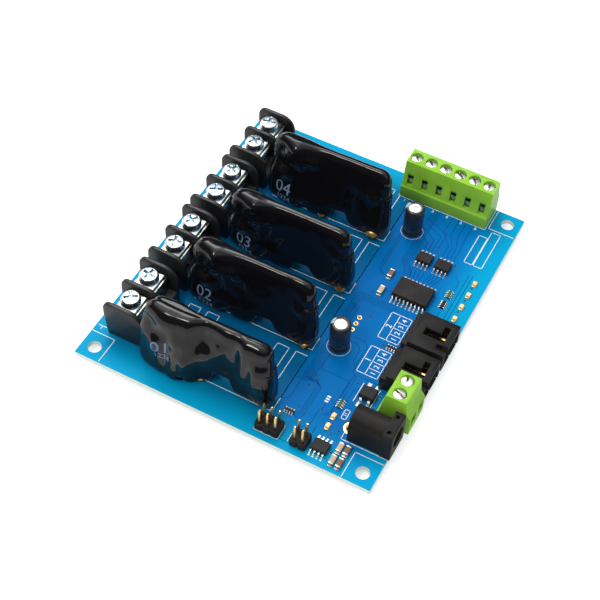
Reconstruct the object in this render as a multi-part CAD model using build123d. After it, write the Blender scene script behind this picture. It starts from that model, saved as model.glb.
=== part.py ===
"""Four-channel solid state relay board: a blue circuit board that carries four dipped relays,
their screw terminals, a power input and two bus headers. Millimetres, +Z up, underside of the board
at Z = 0, origin at the centre of the four mounting holes."""

from build123d import *
import math
import os

# Board: its width and depth follow from the relays and the strips beside and behind them
board_thickness = 1.6
control_strip = 24.5
connector_strip = 12.3
back_margin = 5.04
board_corner_radius = 0.3
mounting_hole_diameter = 4.2
mounting_hole_inset_x = 4.25
mounting_hole_inset_y = 4.3
lead_hole_clearance = 0.25
tail_length = 1.8

# Relay channels
channel_count = 4
channel_pitch = 24.64
channel_front = 10.7

# Barrier terminal blocks, one for each channel
barrier_left = 4.9
barrier_depth = 12.1
barrier_overhang = 1.1
barrier_height = 14.0
barrier_wall = 1.3
barrier_way_pitch = 9.9
barrier_seat_height = 10.4
barrier_shelf_height = 5.0
barrier_front_inset = 1.2
barrier_shelf_depth = 3.6
barrier_front_corner = 2.6
barrier_back_corner = 5.0
contact_thickness = 0.8
contact_side_gap = 0.5
contact_blade_width = 1.2
clamp_size = 6.6
clamp_thickness = 0.8
barrier_head_diameter = 5.8
barrier_head_height = 1.8
barrier_thread_diameter = 3.0
barrier_thread_length = 4.2
thread_clearance = 0.2
pocket_clearance = 0.15
screw_offset = 0.35

# Dipped relays
relay_gap = 0.9
relay_length = 41.8
relay_height = 23.9
relay_thickness = 5.6
relay_row = 2.0
relay_end_slope = 1.7
relay_corner = 3.2
relay_edge = 1.5
relay_clearance = 0.5
relay_lobe_width = 16.0
relay_lobe_height = 15.0
relay_lobe_depth = 3.5
relay_lobe_edge = 1.8
relay_arch_left = 22.8
relay_arch_width = 6.6
relay_arch_height = 3.8
relay_notch_left = 12.4
relay_notch_width = 3.6
relay_notch_height = 1.9
relay_lead_places = (5.2, 18.6, 32.0, 37.0)
relay_lead_width = 0.9
relay_lead_thickness = 0.5

# Green screw terminals
terminal_pitch = 5.0
terminal_height = 13.8
terminal_foot_depth = 10.4
terminal_foot_height = 4.6
terminal_top_depth = 6.3
terminal_back_inset = 2.2
terminal_screw_hole = 4.0
terminal_screw_diameter = 3.6
terminal_screw_sink = 0.6
terminal_window_width = 2.0
terminal_window_height = 4.4
terminal_mouth_width = 3.4
terminal_mouth_height = 3.8
terminal_cage_width = 3.6
terminal_cage_height = 5.4
terminal_cage_wall = 0.6
terminal_cage_clearance = 0.15
terminal_pin_size = 1.0
terminal_bar_thickness = 0.7
terminal_bar_width = 2.2
output_block_ways = 3
output_block_offset = -3.4
output_block_overhang = 0.8
power_block_ways = 2
power_block_front = 21.8
power_block_overhang = 1.4

# Barrel jack
jack_front = 11.35
jack_width = 9.0
jack_height = 11.0
jack_length = 13.6
jack_overhang = 0.5
jack_flange = 3.2
jack_axis_height = 6.3
jack_bore = 6.3
jack_bore_depth = 9.4
jack_pin_diameter = 2.0
jack_barrel_diameter = 8.2
jack_notch_offset = 2.9
jack_notch_inset = 1.3
jack_notch_size = 1.1
jack_opening_start = 8.4
jack_opening_end = 4.6
jack_slot_half = 1.6
jack_tab_thickness = 0.4
jack_tab_width = 2.2
jack_stem_diameter = 1.1
jack_stem_clearance = 0.05
jack_tab_relief = 0.3
jack_spring_inset = 8.2
jack_spring_length = 3.4
jack_switch_inset = 6.5
jack_switch_height = 4.0

# Bus headers
bus_header_length = 12.8
bus_header_height = 7.0
bus_header_depth = 11.7
bus_header_overhang = 0.5
bus_header_wall = 1.0
bus_header_ledge = 1.9
bus_header_ledge_height = 5.2
bus_header_pin_height = 4.2
bus_header_cavity_back = 2.4
bus_header_mouth_lip = 2.1
bus_window_start = 4.9
bus_window_middle = 7.5
bus_window_end = 10.5
bus_window_length = 6.8
bus_window_step = 1.9
bus_slot_start = 1.8
bus_slot_width = 1.8
bus_slot_length = 3.7
bus_header_centres = (38.65, 53.0)
bus_header_ways = 4

# Pin headers
pin_pitch = 2.54
pin_size = 0.64
header_base_height = 2.5
header_pin_top = 8.4

# Round capacitors
capacitor_diameter = 6.3
capacitor_height = 11.2
capacitor_lead_pitch = 2.5
capacitor_lead_diameter = 0.5
capacitor_sleeve = 0.15
capacitor_bung_height = 1.8
capacitor_stand = 0.3
capacitor_rim = 0.35
capacitor_places = ((7.1, 40.0), (6.8, 92.3))

# Chips: length, depth and height of each body, then the pitch, span and width of its leads
lead_strip = 0.2
chip_stand = 0.1
chip_pitch = 1.27
chip_lead_width = 0.42
wide_chip_length = 11.5
wide_chip_depth = 7.5
wide_chip_height = 2.3
wide_chip_span = 10.3
small_chip_length = 4.9
small_chip_depth = 3.9
small_chip_height = 1.5
small_chip_span = 6.1
rectifier_length = 4.7
rectifier_depth = 4.0
rectifier_height = 2.4
rectifier_span = 6.6
rectifier_lead_width = 0.8

# Small parts soldered flat
chip_capacitor_length = 3.2
chip_capacitor_width = 1.6
chip_capacitor_height = 1.2
chip_capacitor_end = 0.5
chip_capacitor_step = 0.05
array_length = 3.2
array_width = 1.6
array_height = 0.55
light_length = 2.2
light_width = 1.4
light_base_height = 0.4
light_lens_height = 0.5

relay_left = barrier_left + barrier_depth + relay_gap
control_left = relay_left + relay_length
board_width = control_left + control_strip + connector_strip
board_depth = channel_front + channel_count * channel_pitch + back_margin
left = -board_width / 2
right = board_width / 2
front = -board_depth / 2
top = board_thickness

os.makedirs("parts", exist_ok=True)


def save(name, pieces):
    """Writes one node, a single piece or a group of separate ones."""
    solids = [solid for piece in pieces for solid in piece.solids()]
    shape = solids[0] if len(solids) == 1 else Compound(children=solids)
    shape.label = name
    export_step(shape, f"parts/{name}.step")


def block(x0, x1, y0, y1, z0, z1):
    """A plain block between two corners."""
    centre = ((x0 + x1) / 2, (y0 + y1) / 2, (z0 + z1) / 2)
    return Pos(*centre) * Box(x1 - x0, y1 - y0, z1 - z0)


def rod(x, y, z0, z1, diameter):
    """An upright round rod."""
    return Pos(x, y, (z0 + z1) / 2) * Cylinder(diameter / 2, z1 - z0)


def six_sided(x, y, z0, z1, across):
    """A shank, or the hole around one: six-sided, as nothing of it is seen."""
    hexagon = RegularPolygon(across / 2, 6, major_radius=False)
    return extrude(Pos(x, y, z0) * hexagon, z1 - z0)


def square_post(x, y, z0, z1, size, tip):
    """An upright square post, chamfered at its top and bottom ends."""
    post = block(x - size / 2, x + size / 2, y - size / 2, y + size / 2, z0, z1)
    upper = post.edges().group_by(Axis.Z)[-1]
    lower = post.edges().group_by(Axis.Z)[0]
    return chamfer(upper + lower, tip)


def swept(points, plane, width, centre):
    """A closed outline of points in a plane, given an even width to both sides of a centre."""
    outline = make_face(Polyline(*points, close=True))
    normal = plane.z_dir
    shift = Vector(*[centre * part for part in (abs(normal.X), abs(normal.Y), abs(normal.Z))])
    solid = extrude(plane * outline, width / 2, both=True)
    return Pos(*shift) * solid


def side_outline(points, y0, y1):
    """An X-Z outline drawn out from y0 to y1."""
    return swept(points, Plane.XZ, y1 - y0, (y0 + y1) / 2)


def end_outline(points, x0, x1):
    """A Y-Z outline drawn out from x0 to x1."""
    return swept(points, Plane.YZ, x1 - x0, (x0 + x1) / 2)


def upright_edges(solid, axis, test):
    """The edges along an axis whose middles pass a test."""
    return [edge for edge in solid.edges().filter_by(axis) if test(edge.center())]


# Every lead that goes through the board asks for its hole here: x, y and half its width.
# The holes are square, as their leads and solder hide them.
drilled = []


def drill(x, y, lead_size):
    drilled.append((x, y, (lead_size + lead_hole_clearance) / 2))


tail = -tail_length


def channel_y(channel):
    """The front wall of a channel's terminal block."""
    return front + channel_front + channel * channel_pitch


# Barrier terminal blocks
seat_top = top + barrier_seat_height
barrier_x0 = left + barrier_left
barrier_x1 = barrier_x0 + barrier_depth
barrier_top = top + barrier_height
barrier_shelf_x = barrier_x1 - barrier_shelf_depth
screw_x = (barrier_x0 + barrier_front_inset + barrier_shelf_x) / 2 + screw_offset
clamp_bottom = seat_top + contact_thickness
head_bottom = clamp_bottom + clamp_thickness
way_width = barrier_way_pitch - barrier_wall


def way_centre(channel, way):
    """The middle of one way, between its two walls."""
    return channel_y(channel) + barrier_wall + way_width / 2 + way * barrier_way_pitch


def barrier_partition(y0):
    """One tall wall, leaning out to the front and rounded at its two top corners."""
    wall = side_outline(
        [
            (barrier_x0, top),
            (barrier_x1, top),
            (barrier_x1, barrier_top),
            (barrier_x0 - barrier_overhang, barrier_top),
            (barrier_x0 - barrier_overhang, top + barrier_height * 0.62),
        ],
        y0,
        y0 + barrier_wall,
    )
    lip = upright_edges(wall, Axis.Y, lambda c: c.Z > barrier_top - 1 and c.X < barrier_x0)
    wall = fillet(lip, barrier_front_corner)
    shoulder = upright_edges(wall, Axis.Y, lambda c: c.Z > barrier_top - 1 and c.X > barrier_shelf_x)
    return fillet(shoulder, barrier_back_corner)


def barrier_contact(channel, way):
    """A bent plate under the screw, its back leg ending in a blade through the board."""
    y = way_centre(channel, way)
    half = way_width / 2 - contact_side_gap
    leg_x = barrier_shelf_x
    plate = side_outline(
        [
            (barrier_x0 + barrier_front_inset, seat_top),
            (leg_x, seat_top),
            (leg_x, top + barrier_shelf_height),
            (leg_x + contact_thickness, top + barrier_shelf_height),
            (leg_x + contact_thickness, clamp_bottom),
            (barrier_x0 + barrier_front_inset, clamp_bottom),
        ],
        y - half,
        y + half,
    )
    side = contact_blade_width / 2
    blade = block(leg_x, leg_x + contact_thickness, y - side, y + side, tail, top + barrier_shelf_height)
    hole = six_sided(screw_x, y, seat_top, clamp_bottom, barrier_thread_diameter + thread_clearance)
    return plate - hole + blade


def barrier_housing(channel):
    """Three walls joined by a stepped base, with pockets for the screws and slots for the blades."""
    y0 = channel_y(channel)
    length = 2 * barrier_way_pitch + barrier_wall
    base = side_outline(
        [
            (barrier_x0 + barrier_front_inset, top),
            (barrier_x1, top),
            (barrier_x1, top + barrier_shelf_height),
            (barrier_shelf_x, top + barrier_shelf_height),
            (barrier_shelf_x, seat_top),
            (barrier_x0 + barrier_front_inset, seat_top),
        ],
        y0,
        y0 + length,
    )
    for wall in range(3):
        base += barrier_partition(y0 + wall * barrier_way_pitch)
    for way in range(2):
        y = way_centre(channel, way)
        side = contact_blade_width / 2 + pocket_clearance
        slot_x1 = barrier_shelf_x + contact_thickness + pocket_clearance
        base -= block(barrier_shelf_x, slot_x1, y - side, y + side, top, top + barrier_shelf_height)
        pocket = barrier_thread_diameter + 2 * pocket_clearance
        pocket_bottom = head_bottom - barrier_thread_length - pocket_clearance
        base -= six_sided(screw_x, y, pocket_bottom, seat_top, pocket)
    return base


def clamp_plate(x, y):
    """A square washer under a screw head."""
    half = clamp_size / 2
    plate = block(x - half, x + half, y - half, y + half, clamp_bottom, head_bottom)
    return plate - six_sided(x, y, clamp_bottom, head_bottom, barrier_thread_diameter + thread_clearance)


def barrier_screw(x, y):
    """A screw with a flat round head."""
    head = rod(x, y, head_bottom, head_bottom + barrier_head_height, barrier_head_diameter)
    return head + six_sided(x, y, head_bottom - barrier_thread_length, head_bottom, barrier_thread_diameter)


clamps = []
screws = []
for channel in range(channel_count):
    save(f"barrier_housing_{channel + 1}", [barrier_housing(channel)])
    save(f"barrier_contacts_{channel + 1}", [barrier_contact(channel, way) for way in range(2)])
    for way in range(2):
        y = way_centre(channel, way)
        clamps.append(clamp_plate(screw_x, y))
        screws.append(barrier_screw(screw_x, y))
        drill(barrier_shelf_x + contact_thickness / 2, y, contact_blade_width)
save("barrier_clamp_plates", clamps)
save("barrier_screws", screws)


# Dipped relays
relay_x0 = left + relay_left
relay_lean = (2.0, 3.5, -2.0, 6.0)


def relay_row_y(channel):
    return channel_y(channel) + relay_row


def relay_leads(channel):
    """Four flat leads in one row, from inside the body down through the board."""
    y = relay_row_y(channel)
    leads = []
    for place in relay_lead_places:
        x = relay_x0 + place
        half = relay_lead_width / 2
        depth = relay_lead_thickness / 2
        leads.append(block(x - half, x + half, y - depth, y + depth, tail, top + relay_clearance + 3.0))
    return leads


def relay_slab():
    """The dipped body: a slab with round edges, an arch and a notch under it, leaning on its leads."""
    arch_right = relay_arch_left + relay_arch_width
    notch_right = relay_notch_left + relay_notch_width
    outline = [
        (0, 0),
        (relay_notch_left, 0),
        (relay_notch_left + 0.9, relay_notch_height),
        (notch_right - 0.9, relay_notch_height),
        (notch_right, 0),
        (relay_arch_left - 0.8, 0),
        (relay_arch_left + 0.9, relay_arch_height),
        (arch_right - 1.6, relay_arch_height),
        (arch_right + 0.4, 0),
        (relay_length - 1.8, 0),
        (relay_length, 3.4),
        (relay_length - relay_end_slope, relay_height),
        (relay_end_slope, relay_height),
        (0, relay_height * 0.45),
    ]
    slab = swept(outline, Plane.XZ, relay_thickness, 0)
    crown = upright_edges(slab, Axis.Y, lambda c: c.Z > relay_height - 1)
    slab = fillet(crown, relay_corner)
    for step in (relay_edge, relay_edge * 0.37):
        rims = [edge for edge in slab.edges() if abs(abs(edge.center().Y) - relay_thickness / 2) < 1e-6]
        slab = chamfer(rims, step)
    return slab


def relay_lobe():
    """The swollen front left part of the first relay, where the coating ran over its inner parts."""
    belly = -relay_thickness / 2 - relay_lobe_depth
    outline = [
        (0, 0.3),
        (belly + 1.1, 0.3),
        (belly, 3.0),
        (belly + 0.3, relay_lobe_height * 0.56),
        (-relay_thickness / 2 - 0.4, relay_lobe_height),
        (0, relay_lobe_height),
    ]
    lobe = end_outline(outline, 0.4, relay_lobe_width)
    swollen = [edge for edge in lobe.edges() if edge.center().Y < -relay_thickness / 2 - 0.4]
    return fillet(swollen, relay_lobe_edge)


for channel in range(channel_count):
    leads = relay_leads(channel)
    body = relay_slab()
    if channel == 0:
        body += relay_lobe()
    body = Pos(relay_x0, relay_row_y(channel), top + relay_clearance) * Rot(-relay_lean[channel], 0, 0) * body
    for lead in leads:
        body -= lead
    save(f"relay_body_{channel + 1}", [body])
    save(f"relay_leads_{channel + 1}", leads)
    for place in relay_lead_places:
        drill(relay_x0 + place, relay_row_y(channel), relay_lead_width)


# Green screw terminals, drawn with their ways along X and their wire side to the back
cage_half = terminal_cage_width / 2
cage_y0 = 3.3
cage_y1 = 8.0
cage_bottom = 3.0
cage_top = cage_bottom + terminal_cage_height
screw_y = terminal_back_inset + terminal_top_depth / 2
window_bottom = terminal_foot_height + 0.5
window_top = window_bottom + terminal_window_height
bar_bottom = cage_top - terminal_cage_wall - 1.4
post_y = 2.3


def terminal_way_x(way):
    return terminal_pitch * (way + 0.5)


def terminal_housing(ways):
    """A stepped block with screw wells on top, windows at one side and wire mouths at the other."""
    length = ways * terminal_pitch
    body = end_outline(
        [
            (0, 0),
            (terminal_foot_depth, 0),
            (terminal_foot_depth, terminal_foot_height + 2.2),
            (terminal_back_inset + terminal_top_depth + 0.5, terminal_foot_height + 4.0),
            (terminal_back_inset + terminal_top_depth, terminal_height),
            (terminal_back_inset, terminal_height),
            (0.5, terminal_foot_height),
            (0, terminal_foot_height - 0.4),
        ],
        0,
        length,
    )
    spare = terminal_cage_clearance
    for way in range(ways):
        x = terminal_way_x(way)
        body -= block(x - cage_half - spare, x + cage_half + spare, 1.7, cage_y1 + spare, 1.4, cage_top + spare)
        body -= Pos(x, screw_y, (cage_top + terminal_height) / 2) * Cylinder(
            terminal_screw_hole / 2, terminal_height - cage_top
        )
        half = terminal_window_width / 2
        body -= block(x - half, x + half, -0.1, 1.8, window_bottom, window_top)
        side = terminal_mouth_width / 2
        mouth_top = cage_bottom + terminal_mouth_height
        body -= block(x - side, x + side, cage_y1, terminal_foot_depth, cage_bottom, mouth_top)
        body -= block(x - 0.75, x + 0.75, post_y - 0.55, post_y + 0.55, 0, 1.4)
    return body


def terminal_cage(x):
    """A rising cage: a square tube along the wire, hung on its screw."""
    cage = block(x - cage_half, x + cage_half, cage_y0, cage_y1, cage_bottom, cage_top)
    wall = terminal_cage_wall
    inner = cage_half - wall
    return cage - block(x - inner, x + inner, cage_y0, cage_y1, cage_bottom + wall, cage_top - wall)


def terminal_screw(x):
    """A round screw, sunk in its well and standing on its cage."""
    return rod(x, screw_y, cage_top, terminal_height - terminal_screw_sink, terminal_screw_diameter)


def terminal_pin(x):
    """The fixed bar that the cage presses the wire against, with its post down through the board."""
    half = terminal_bar_width / 2
    bar_top = bar_bottom + terminal_bar_thickness
    bar = block(x - half, x + half, post_y - 0.35, cage_y1 - 0.3, bar_bottom, bar_top)
    size = terminal_pin_size / 2
    return bar + block(x - size, x + size, post_y - 0.35, post_y + 0.35, tail - top, bar_bottom)


block_screws = []
block_cages = []
block_pins = []


def place_terminal(name, ways, location):
    """Puts one terminal block on the board and gathers its screws, cages and pins."""
    save(name, [location * terminal_housing(ways)])
    for way in range(ways):
        x = terminal_way_x(way)
        block_screws.append(location * terminal_screw(x))
        block_cages.append(location * terminal_cage(x))
        block_pins.append(location * terminal_pin(x))
        spot = (location * Pos(x, post_y, 0)).position
        drill(spot.X, spot.Y, terminal_pin_size * 1.25)


for number in range(2):
    x = left + control_left + output_block_offset + number * output_block_ways * terminal_pitch
    location = Pos(x, -front + output_block_overhang - terminal_foot_depth, top)
    place_terminal(f"output_block_{number + 1}_housing", output_block_ways, location)
power_x = right + power_block_overhang - terminal_foot_depth
power_y = front + power_block_front + power_block_ways * terminal_pitch
place_terminal("power_block_housing", power_block_ways, Pos(power_x, power_y, top) * Rot(0, 0, -90))
save("terminal_block_screws", block_screws)
save("terminal_block_cages", block_cages)
save("terminal_block_pins", block_pins)


# Barrel jack, its mouth past the right edge
jack_x1 = right + jack_overhang
jack_x0 = jack_x1 - jack_length
jack_y0 = front + jack_front
jack_y = jack_y0 + jack_width / 2
jack_z = top + jack_axis_height
jack_radius = jack_barrel_diameter / 2


def along_x(x0, x1, y, z, diameter):
    """A round rod lying along X."""
    return Pos((x0 + x1) / 2, y, z) * Rot(0, 90, 0) * Cylinder(diameter / 2, x1 - x0)


def jack_housing():
    """A barrel on a low base behind a square flange, bored from the front."""
    base = block(jack_x0, jack_x1, jack_y - jack_radius, jack_y + jack_radius, top, jack_z)
    barrel = along_x(jack_x0, jack_x1, jack_y, jack_z, jack_barrel_diameter)
    flange = block(jack_x1 - jack_flange, jack_x1, jack_y0, jack_y0 + jack_width, top, top + jack_height)
    body = base + barrel + flange
    notch_x = jack_x1 - jack_notch_inset
    notch = jack_notch_size
    for side in (-1, 1):
        y = jack_y + side * jack_notch_offset
        flange_top = top + jack_height
        body -= block(notch_x - notch, notch_x, y - notch / 2, y + notch / 2, flange_top - notch, flange_top)
    body -= along_x(bore_x, jack_x1, jack_y, jack_z, jack_bore)
    y0 = jack_y - jack_slot_half
    y1 = jack_y + jack_slot_half
    body -= block(jack_x1 - jack_opening_start, jack_x1 - jack_opening_end, y0, y1, top, jack_z)
    slot_x = tab_x + jack_tab_relief
    body -= block(jack_x0, slot_x, y0, y1, top, tab_top + jack_tab_relief / 2)
    stem_hole = jack_stem_diameter + 2 * jack_stem_clearance
    return body - along_x(slot_x, bore_x, jack_y, jack_z, stem_hole)


def jack_centre_pin():
    """The pin in the bore, riveted to the solder tab behind the barrel."""
    half = jack_tab_width / 2
    pin = along_x(bore_x, jack_x1 - 1.0, jack_y, jack_z, jack_pin_diameter)
    stem = along_x(tab_x, bore_x, jack_y, jack_z, jack_stem_diameter)
    tab = block(jack_x0, tab_x, jack_y - half - 0.3, jack_y + half + 0.3, top, tab_top)
    return pin + stem + tab + block(jack_x0, tab_x, jack_y - half, jack_y + half, tail, top)


def jack_spring():
    """The sprung sleeve contact under the bore, with its solder leg."""
    half = jack_tab_width / 2
    finger_z = jack_z - jack_bore / 2 - jack_tab_thickness / 2
    finger_x1 = spring_x + jack_spring_length
    finger = block(spring_x, finger_x1, jack_y - half, jack_y + half, finger_z - jack_tab_thickness, finger_z)
    leg_x1 = spring_x + jack_tab_thickness
    return finger + block(spring_x, leg_x1, jack_y - half, jack_y + half, tail, finger_z - jack_tab_thickness)


def jack_switch():
    """The switch contact at the side of the base."""
    x = jack_x1 - jack_switch_inset
    y = jack_y + jack_radius
    return block(x, x + jack_tab_width, y, y + jack_tab_thickness, tail, top + jack_switch_height)


bore_x = jack_x1 - jack_bore_depth
tab_x = jack_x0 + jack_tab_thickness
tab_top = jack_z + 1.2
spring_x = jack_x1 - jack_spring_inset
hole_size = jack_tab_width + 0.2
save("jack_housing", [jack_housing()])
save("jack_centre_pin", [jack_centre_pin()])
save("jack_spring_contact", [jack_spring()])
save("jack_switch_contact", [jack_switch()])
drill(jack_x0 + jack_tab_thickness / 2, jack_y, hole_size)
drill(spring_x + jack_tab_thickness / 2, jack_y, hole_size)
drill(jack_x1 - jack_switch_inset + jack_tab_width / 2, jack_y + jack_radius + jack_tab_thickness / 2, hole_size)


# Bus headers, latching, mouths past the right edge
bus_x1 = right + bus_header_overhang
bus_shroud_x = bus_x1 - bus_header_depth
bus_x0 = bus_shroud_x - bus_header_ledge
bus_pin_x = bus_x0 + 0.95
bus_pin_z = top + bus_header_pin_height


def bus_pin_y(centre, way):
    return front + centre + (way - (bus_header_ways - 1) / 2) * pin_pitch


def bus_header_housing(centre):
    """A shroud with a latch window and a keyway on top, and a ribbed ledge behind it."""
    y0 = front + centre - bus_header_length / 2
    y1 = y0 + bus_header_length
    ledge_top = top + bus_header_ledge_height
    shroud_top = top + bus_header_height
    body = side_outline(
        [
            (bus_x0, top),
            (bus_x1, top),
            (bus_x1, shroud_top),
            (bus_shroud_x, shroud_top),
            (bus_shroud_x, ledge_top),
            (bus_x0, ledge_top),
        ],
        y0,
        y1,
    )
    wall = bus_header_wall
    roof = shroud_top - wall
    lip_x = bus_x1 - bus_header_mouth_lip
    middle_y = y0 + bus_window_middle
    slot_y0 = y0 + bus_slot_start
    body -= block(bus_shroud_x + bus_header_cavity_back, bus_x1, y0 + wall, y1 - wall, top + wall, roof)
    body -= block(lip_x - bus_window_length, lip_x, y0 + bus_window_start, middle_y, roof, shroud_top)
    body -= block(lip_x - bus_window_step, lip_x, middle_y, y0 + bus_window_end, roof, shroud_top)
    body -= block(bus_x1 - bus_slot_length, bus_x1, slot_y0, slot_y0 + bus_slot_width, roof, shroud_top)
    half = pin_size / 2 + 0.03
    for way in range(bus_header_ways):
        y = bus_pin_y(centre, way)
        cavity_x = bus_shroud_x + bus_header_cavity_back
        body -= block(bus_x0, cavity_x, y - half, y + half, bus_pin_z - half, bus_pin_z + half)
        body -= block(bus_x0, bus_pin_x + half, y - half, y + half, top, bus_pin_z + half)
        body -= block(bus_x0, bus_x0 + 0.45, y - 0.55, y + 0.55, top, ledge_top)
    for slot_y in (centre - 0.3, centre + 4.8):
        body -= block(bus_x1 - 1.2, bus_x1, front + slot_y - 0.35, front + slot_y + 0.35, top, top + wall)
    return body


def bus_header_pin(y):
    """A square pin that runs back from the mouth and turns down through the board."""
    half = pin_size / 2
    pin = side_outline(
        [
            (bus_pin_x - half, tail),
            (bus_pin_x + half, tail),
            (bus_pin_x + half, bus_pin_z - half),
            (bus_x1 - 1.8, bus_pin_z - half),
            (bus_x1 - 1.8, bus_pin_z + half),
            (bus_pin_x - half, bus_pin_z + half),
        ],
        y - half,
        y + half,
    )
    return pin


for name, centre in zip(("bus_header_in", "bus_header_out"), bus_header_centres):
    save(f"{name}_housing", [bus_header_housing(centre)])
    pin_rows = [bus_pin_y(centre, way) for way in range(bus_header_ways)]
    save(f"{name}_pins", [bus_header_pin(y) for y in pin_rows])
    for y in pin_rows:
        drill(bus_pin_x, y, pin_size * 1.45)


def pin_header(name, x, y, columns):
    """A two-row pin header: a base of chamfered cells, and its square pins."""
    base = None
    pins = []
    for column in range(columns):
        for row in range(2):
            px = left + control_left + x + (column - (columns - 1) / 2) * pin_pitch
            py = front + y + (row - 0.5) * pin_pitch
            half = pin_pitch / 2
            cell = block(px - half, px + half, py - half, py + half, top, top + header_base_height)
            outer = upright_edges(cell, Axis.Z, lambda c: (c.Y - py) * (row - 0.5) > 0)
            cell = chamfer(outer, 0.45)
            base = cell if base is None else base + cell
            pins.append(square_post(px, py, tail, top + header_pin_top, pin_size, 0.15))
            drill(px, py, pin_size * 1.45)
    for pin in pins:
        base -= pin
    save(f"{name}_base", [base])
    save(f"{name}_pins", pins)


pin_header("address_header", 2.8, 4.8, 3)
pin_header("pullup_header", 12.7, 4.8, 2)


# Round capacitors
def capacitor(number, x, y):
    """A sleeved aluminium can on a rubber bung with two wire leads."""
    cx = left + control_left + x
    cy = front + y
    radius = capacitor_diameter / 2
    bottom_z = top + capacitor_stand
    top_z = top + capacitor_height
    inner = radius - capacitor_sleeve
    bung_top = capacitor_bung_height
    can_top = top_z - bottom_z
    rim = capacitor_rim
    can = rod(0, 0, bung_top, can_top, 2 * inner)
    bung = rod(0, 0, 0, bung_top, 2 * (inner - rim / 2))
    sleeve_outline = [
        (inner, rim / 2),
        (radius, rim / 2),
        (radius, can_top),
        (radius - rim, can_top + rim),
        (inner - 2 * rim, can_top),
        (inner, can_top),
    ]
    sleeve = revolve(Plane.XZ * make_face(Polyline(*sleeve_outline, close=True)), Axis.Z)
    leads = []
    for side in (-0.5, 0.5):
        lead_x = side * capacitor_lead_pitch
        leads.append(six_sided(lead_x, 0, tail - bottom_z, 0, capacitor_lead_diameter))
        drill(cx + lead_x, cy, capacitor_lead_diameter * 1.4)
    place = Pos(cx, cy, bottom_z)
    save(f"capacitor_{number}_can", [place * can])
    save(f"capacitor_{number}_sleeve", [place * sleeve])
    save(f"capacitor_{number}_bung", [place * bung])
    save(f"capacitor_{number}_leads", [place * lead for lead in leads])


for number, (x, y) in enumerate(capacitor_places, 1):
    capacitor(number, x, y)


# Chips with bent leads on their front and back sides
def chip(name, cx, y, size, pins, pitch, span, lead_width):
    """A moulded body with drafted sides, and a row of bent leads at its front and back."""
    length, depth, height = size
    cy = front + y
    middle = top + chip_stand + height / 2
    half_section = Rectangle(length, depth)
    body = extrude(Pos(cx, cy, middle) * half_section, height / 2, taper=7)
    body += extrude(Pos(cx, cy, middle) * half_section, -height / 2, taper=7)
    leads = []
    foot = (span - depth) * 0.4
    knee = depth / 2 + (span / 2 - depth / 2) * 0.38
    strip = lead_strip
    for side in (-1, 1):
        outline = [
            (depth / 2, middle - strip / 2),
            (knee, middle - strip / 2),
            (span / 2 - foot, top),
            (span / 2, top),
            (span / 2, top + strip),
            (span / 2 - foot + strip, top + strip),
            (knee + strip, middle + strip / 2),
            (depth / 2, middle + strip / 2),
        ]
        for place in range(pins):
            px = cx + (place - (pins - 1) / 2) * pitch
            points = [(cy + side * v, z) for v, z in outline]
            leads.append(end_outline(points, px - lead_width / 2, px + lead_width / 2))
    save(f"{name}_body", [body])
    save(f"{name}_leads", leads)


strip_x = left + control_left
wide_size = (wide_chip_length, wide_chip_depth, wide_chip_height)
small_size = (small_chip_length, small_chip_depth, small_chip_height)
rectifier_size = (rectifier_length, rectifier_depth, rectifier_height)
small_leads = (chip_pitch, small_chip_span, chip_lead_width)
rectifier_leads = (2 * chip_pitch, rectifier_span, rectifier_lead_width)
chip("expander_chip", strip_x + 18.25, 68.3, wide_size, 9, chip_pitch, wide_chip_span, chip_lead_width)
chip("driver_chip_1", strip_x + 15.3, 83.1, small_size, 4, *small_leads)
chip("driver_chip_2", strip_x + 21.6, 83.1, small_size, 4, *small_leads)
chip("bus_chip", strip_x + 18.55, 5.75, small_size, 4, *small_leads)
chip("bridge_rectifier", right - 14.2, 28.0, rectifier_size, 2, *rectifier_leads)


# Small parts soldered flat, all longer along Y unless turned
def chip_capacitor(cx, y):
    """A ceramic block between two slightly larger metal ends."""
    cy = front + y
    half = chip_capacitor_length / 2
    side = chip_capacitor_width / 2
    step = chip_capacitor_step
    end_top = top + chip_capacitor_height
    body = block(cx - side + step, cx + side - step, cy - half, cy + half, top + step, end_top - step)
    for y0 in (cy - half, cy + half - chip_capacitor_end):
        body += block(cx - side, cx + side, y0, y0 + chip_capacitor_end, top, end_top)
    return body


def resistor_array(cx, y, turn):
    """A flat ceramic with four terminals along each long side."""
    half = array_length / 2
    side = array_width / 2
    return Pos(cx, front + y, top) * Rot(0, 0, turn) * block(-side, side, -half, half, 0, array_height)


def indicator(cx, y):
    """A small light: a flat base with a raised lens."""
    half = light_length / 2
    side = light_width / 2
    base = block(-side, side, -half, half, 0, light_base_height)
    lens_outline = Rectangle(light_width * 0.93, light_length * 0.64)
    lens = extrude(Pos(0, 0, light_base_height) * lens_outline, light_lens_height, taper=6)
    return Pos(cx, front + y, top) * (base + lens)


capacitor_spots = [(strip_x + 8.7, 72.6), (strip_x + 8.9, 65.2)]
capacitor_spots += [(strip_x + x, y) for x in (23.5, 25.7) for y in (3.6, 8.2)]
array_spots = [(right - 8.9, 74.2, 0), (right - 9.0, 69.6, 0), (bus_x0 - 2.5, 46.9, 90)]
array_spots += [(strip_x + 5.1, 12.5, 90), (strip_x + 16.9, 21.75, 0)]
light_spots = [(right - 3.7, y) for y in (66.4, 71.6, 76.8, 81.9)]
light_spots += [(strip_x + 17.1, y) for y in (13.1, 17.0)]
save("chip_capacitors", [chip_capacitor(*spot) for spot in capacitor_spots])
save("resistor_arrays", [resistor_array(*spot) for spot in array_spots])
save("indicator_lights", [indicator(*spot) for spot in light_spots])


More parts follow.
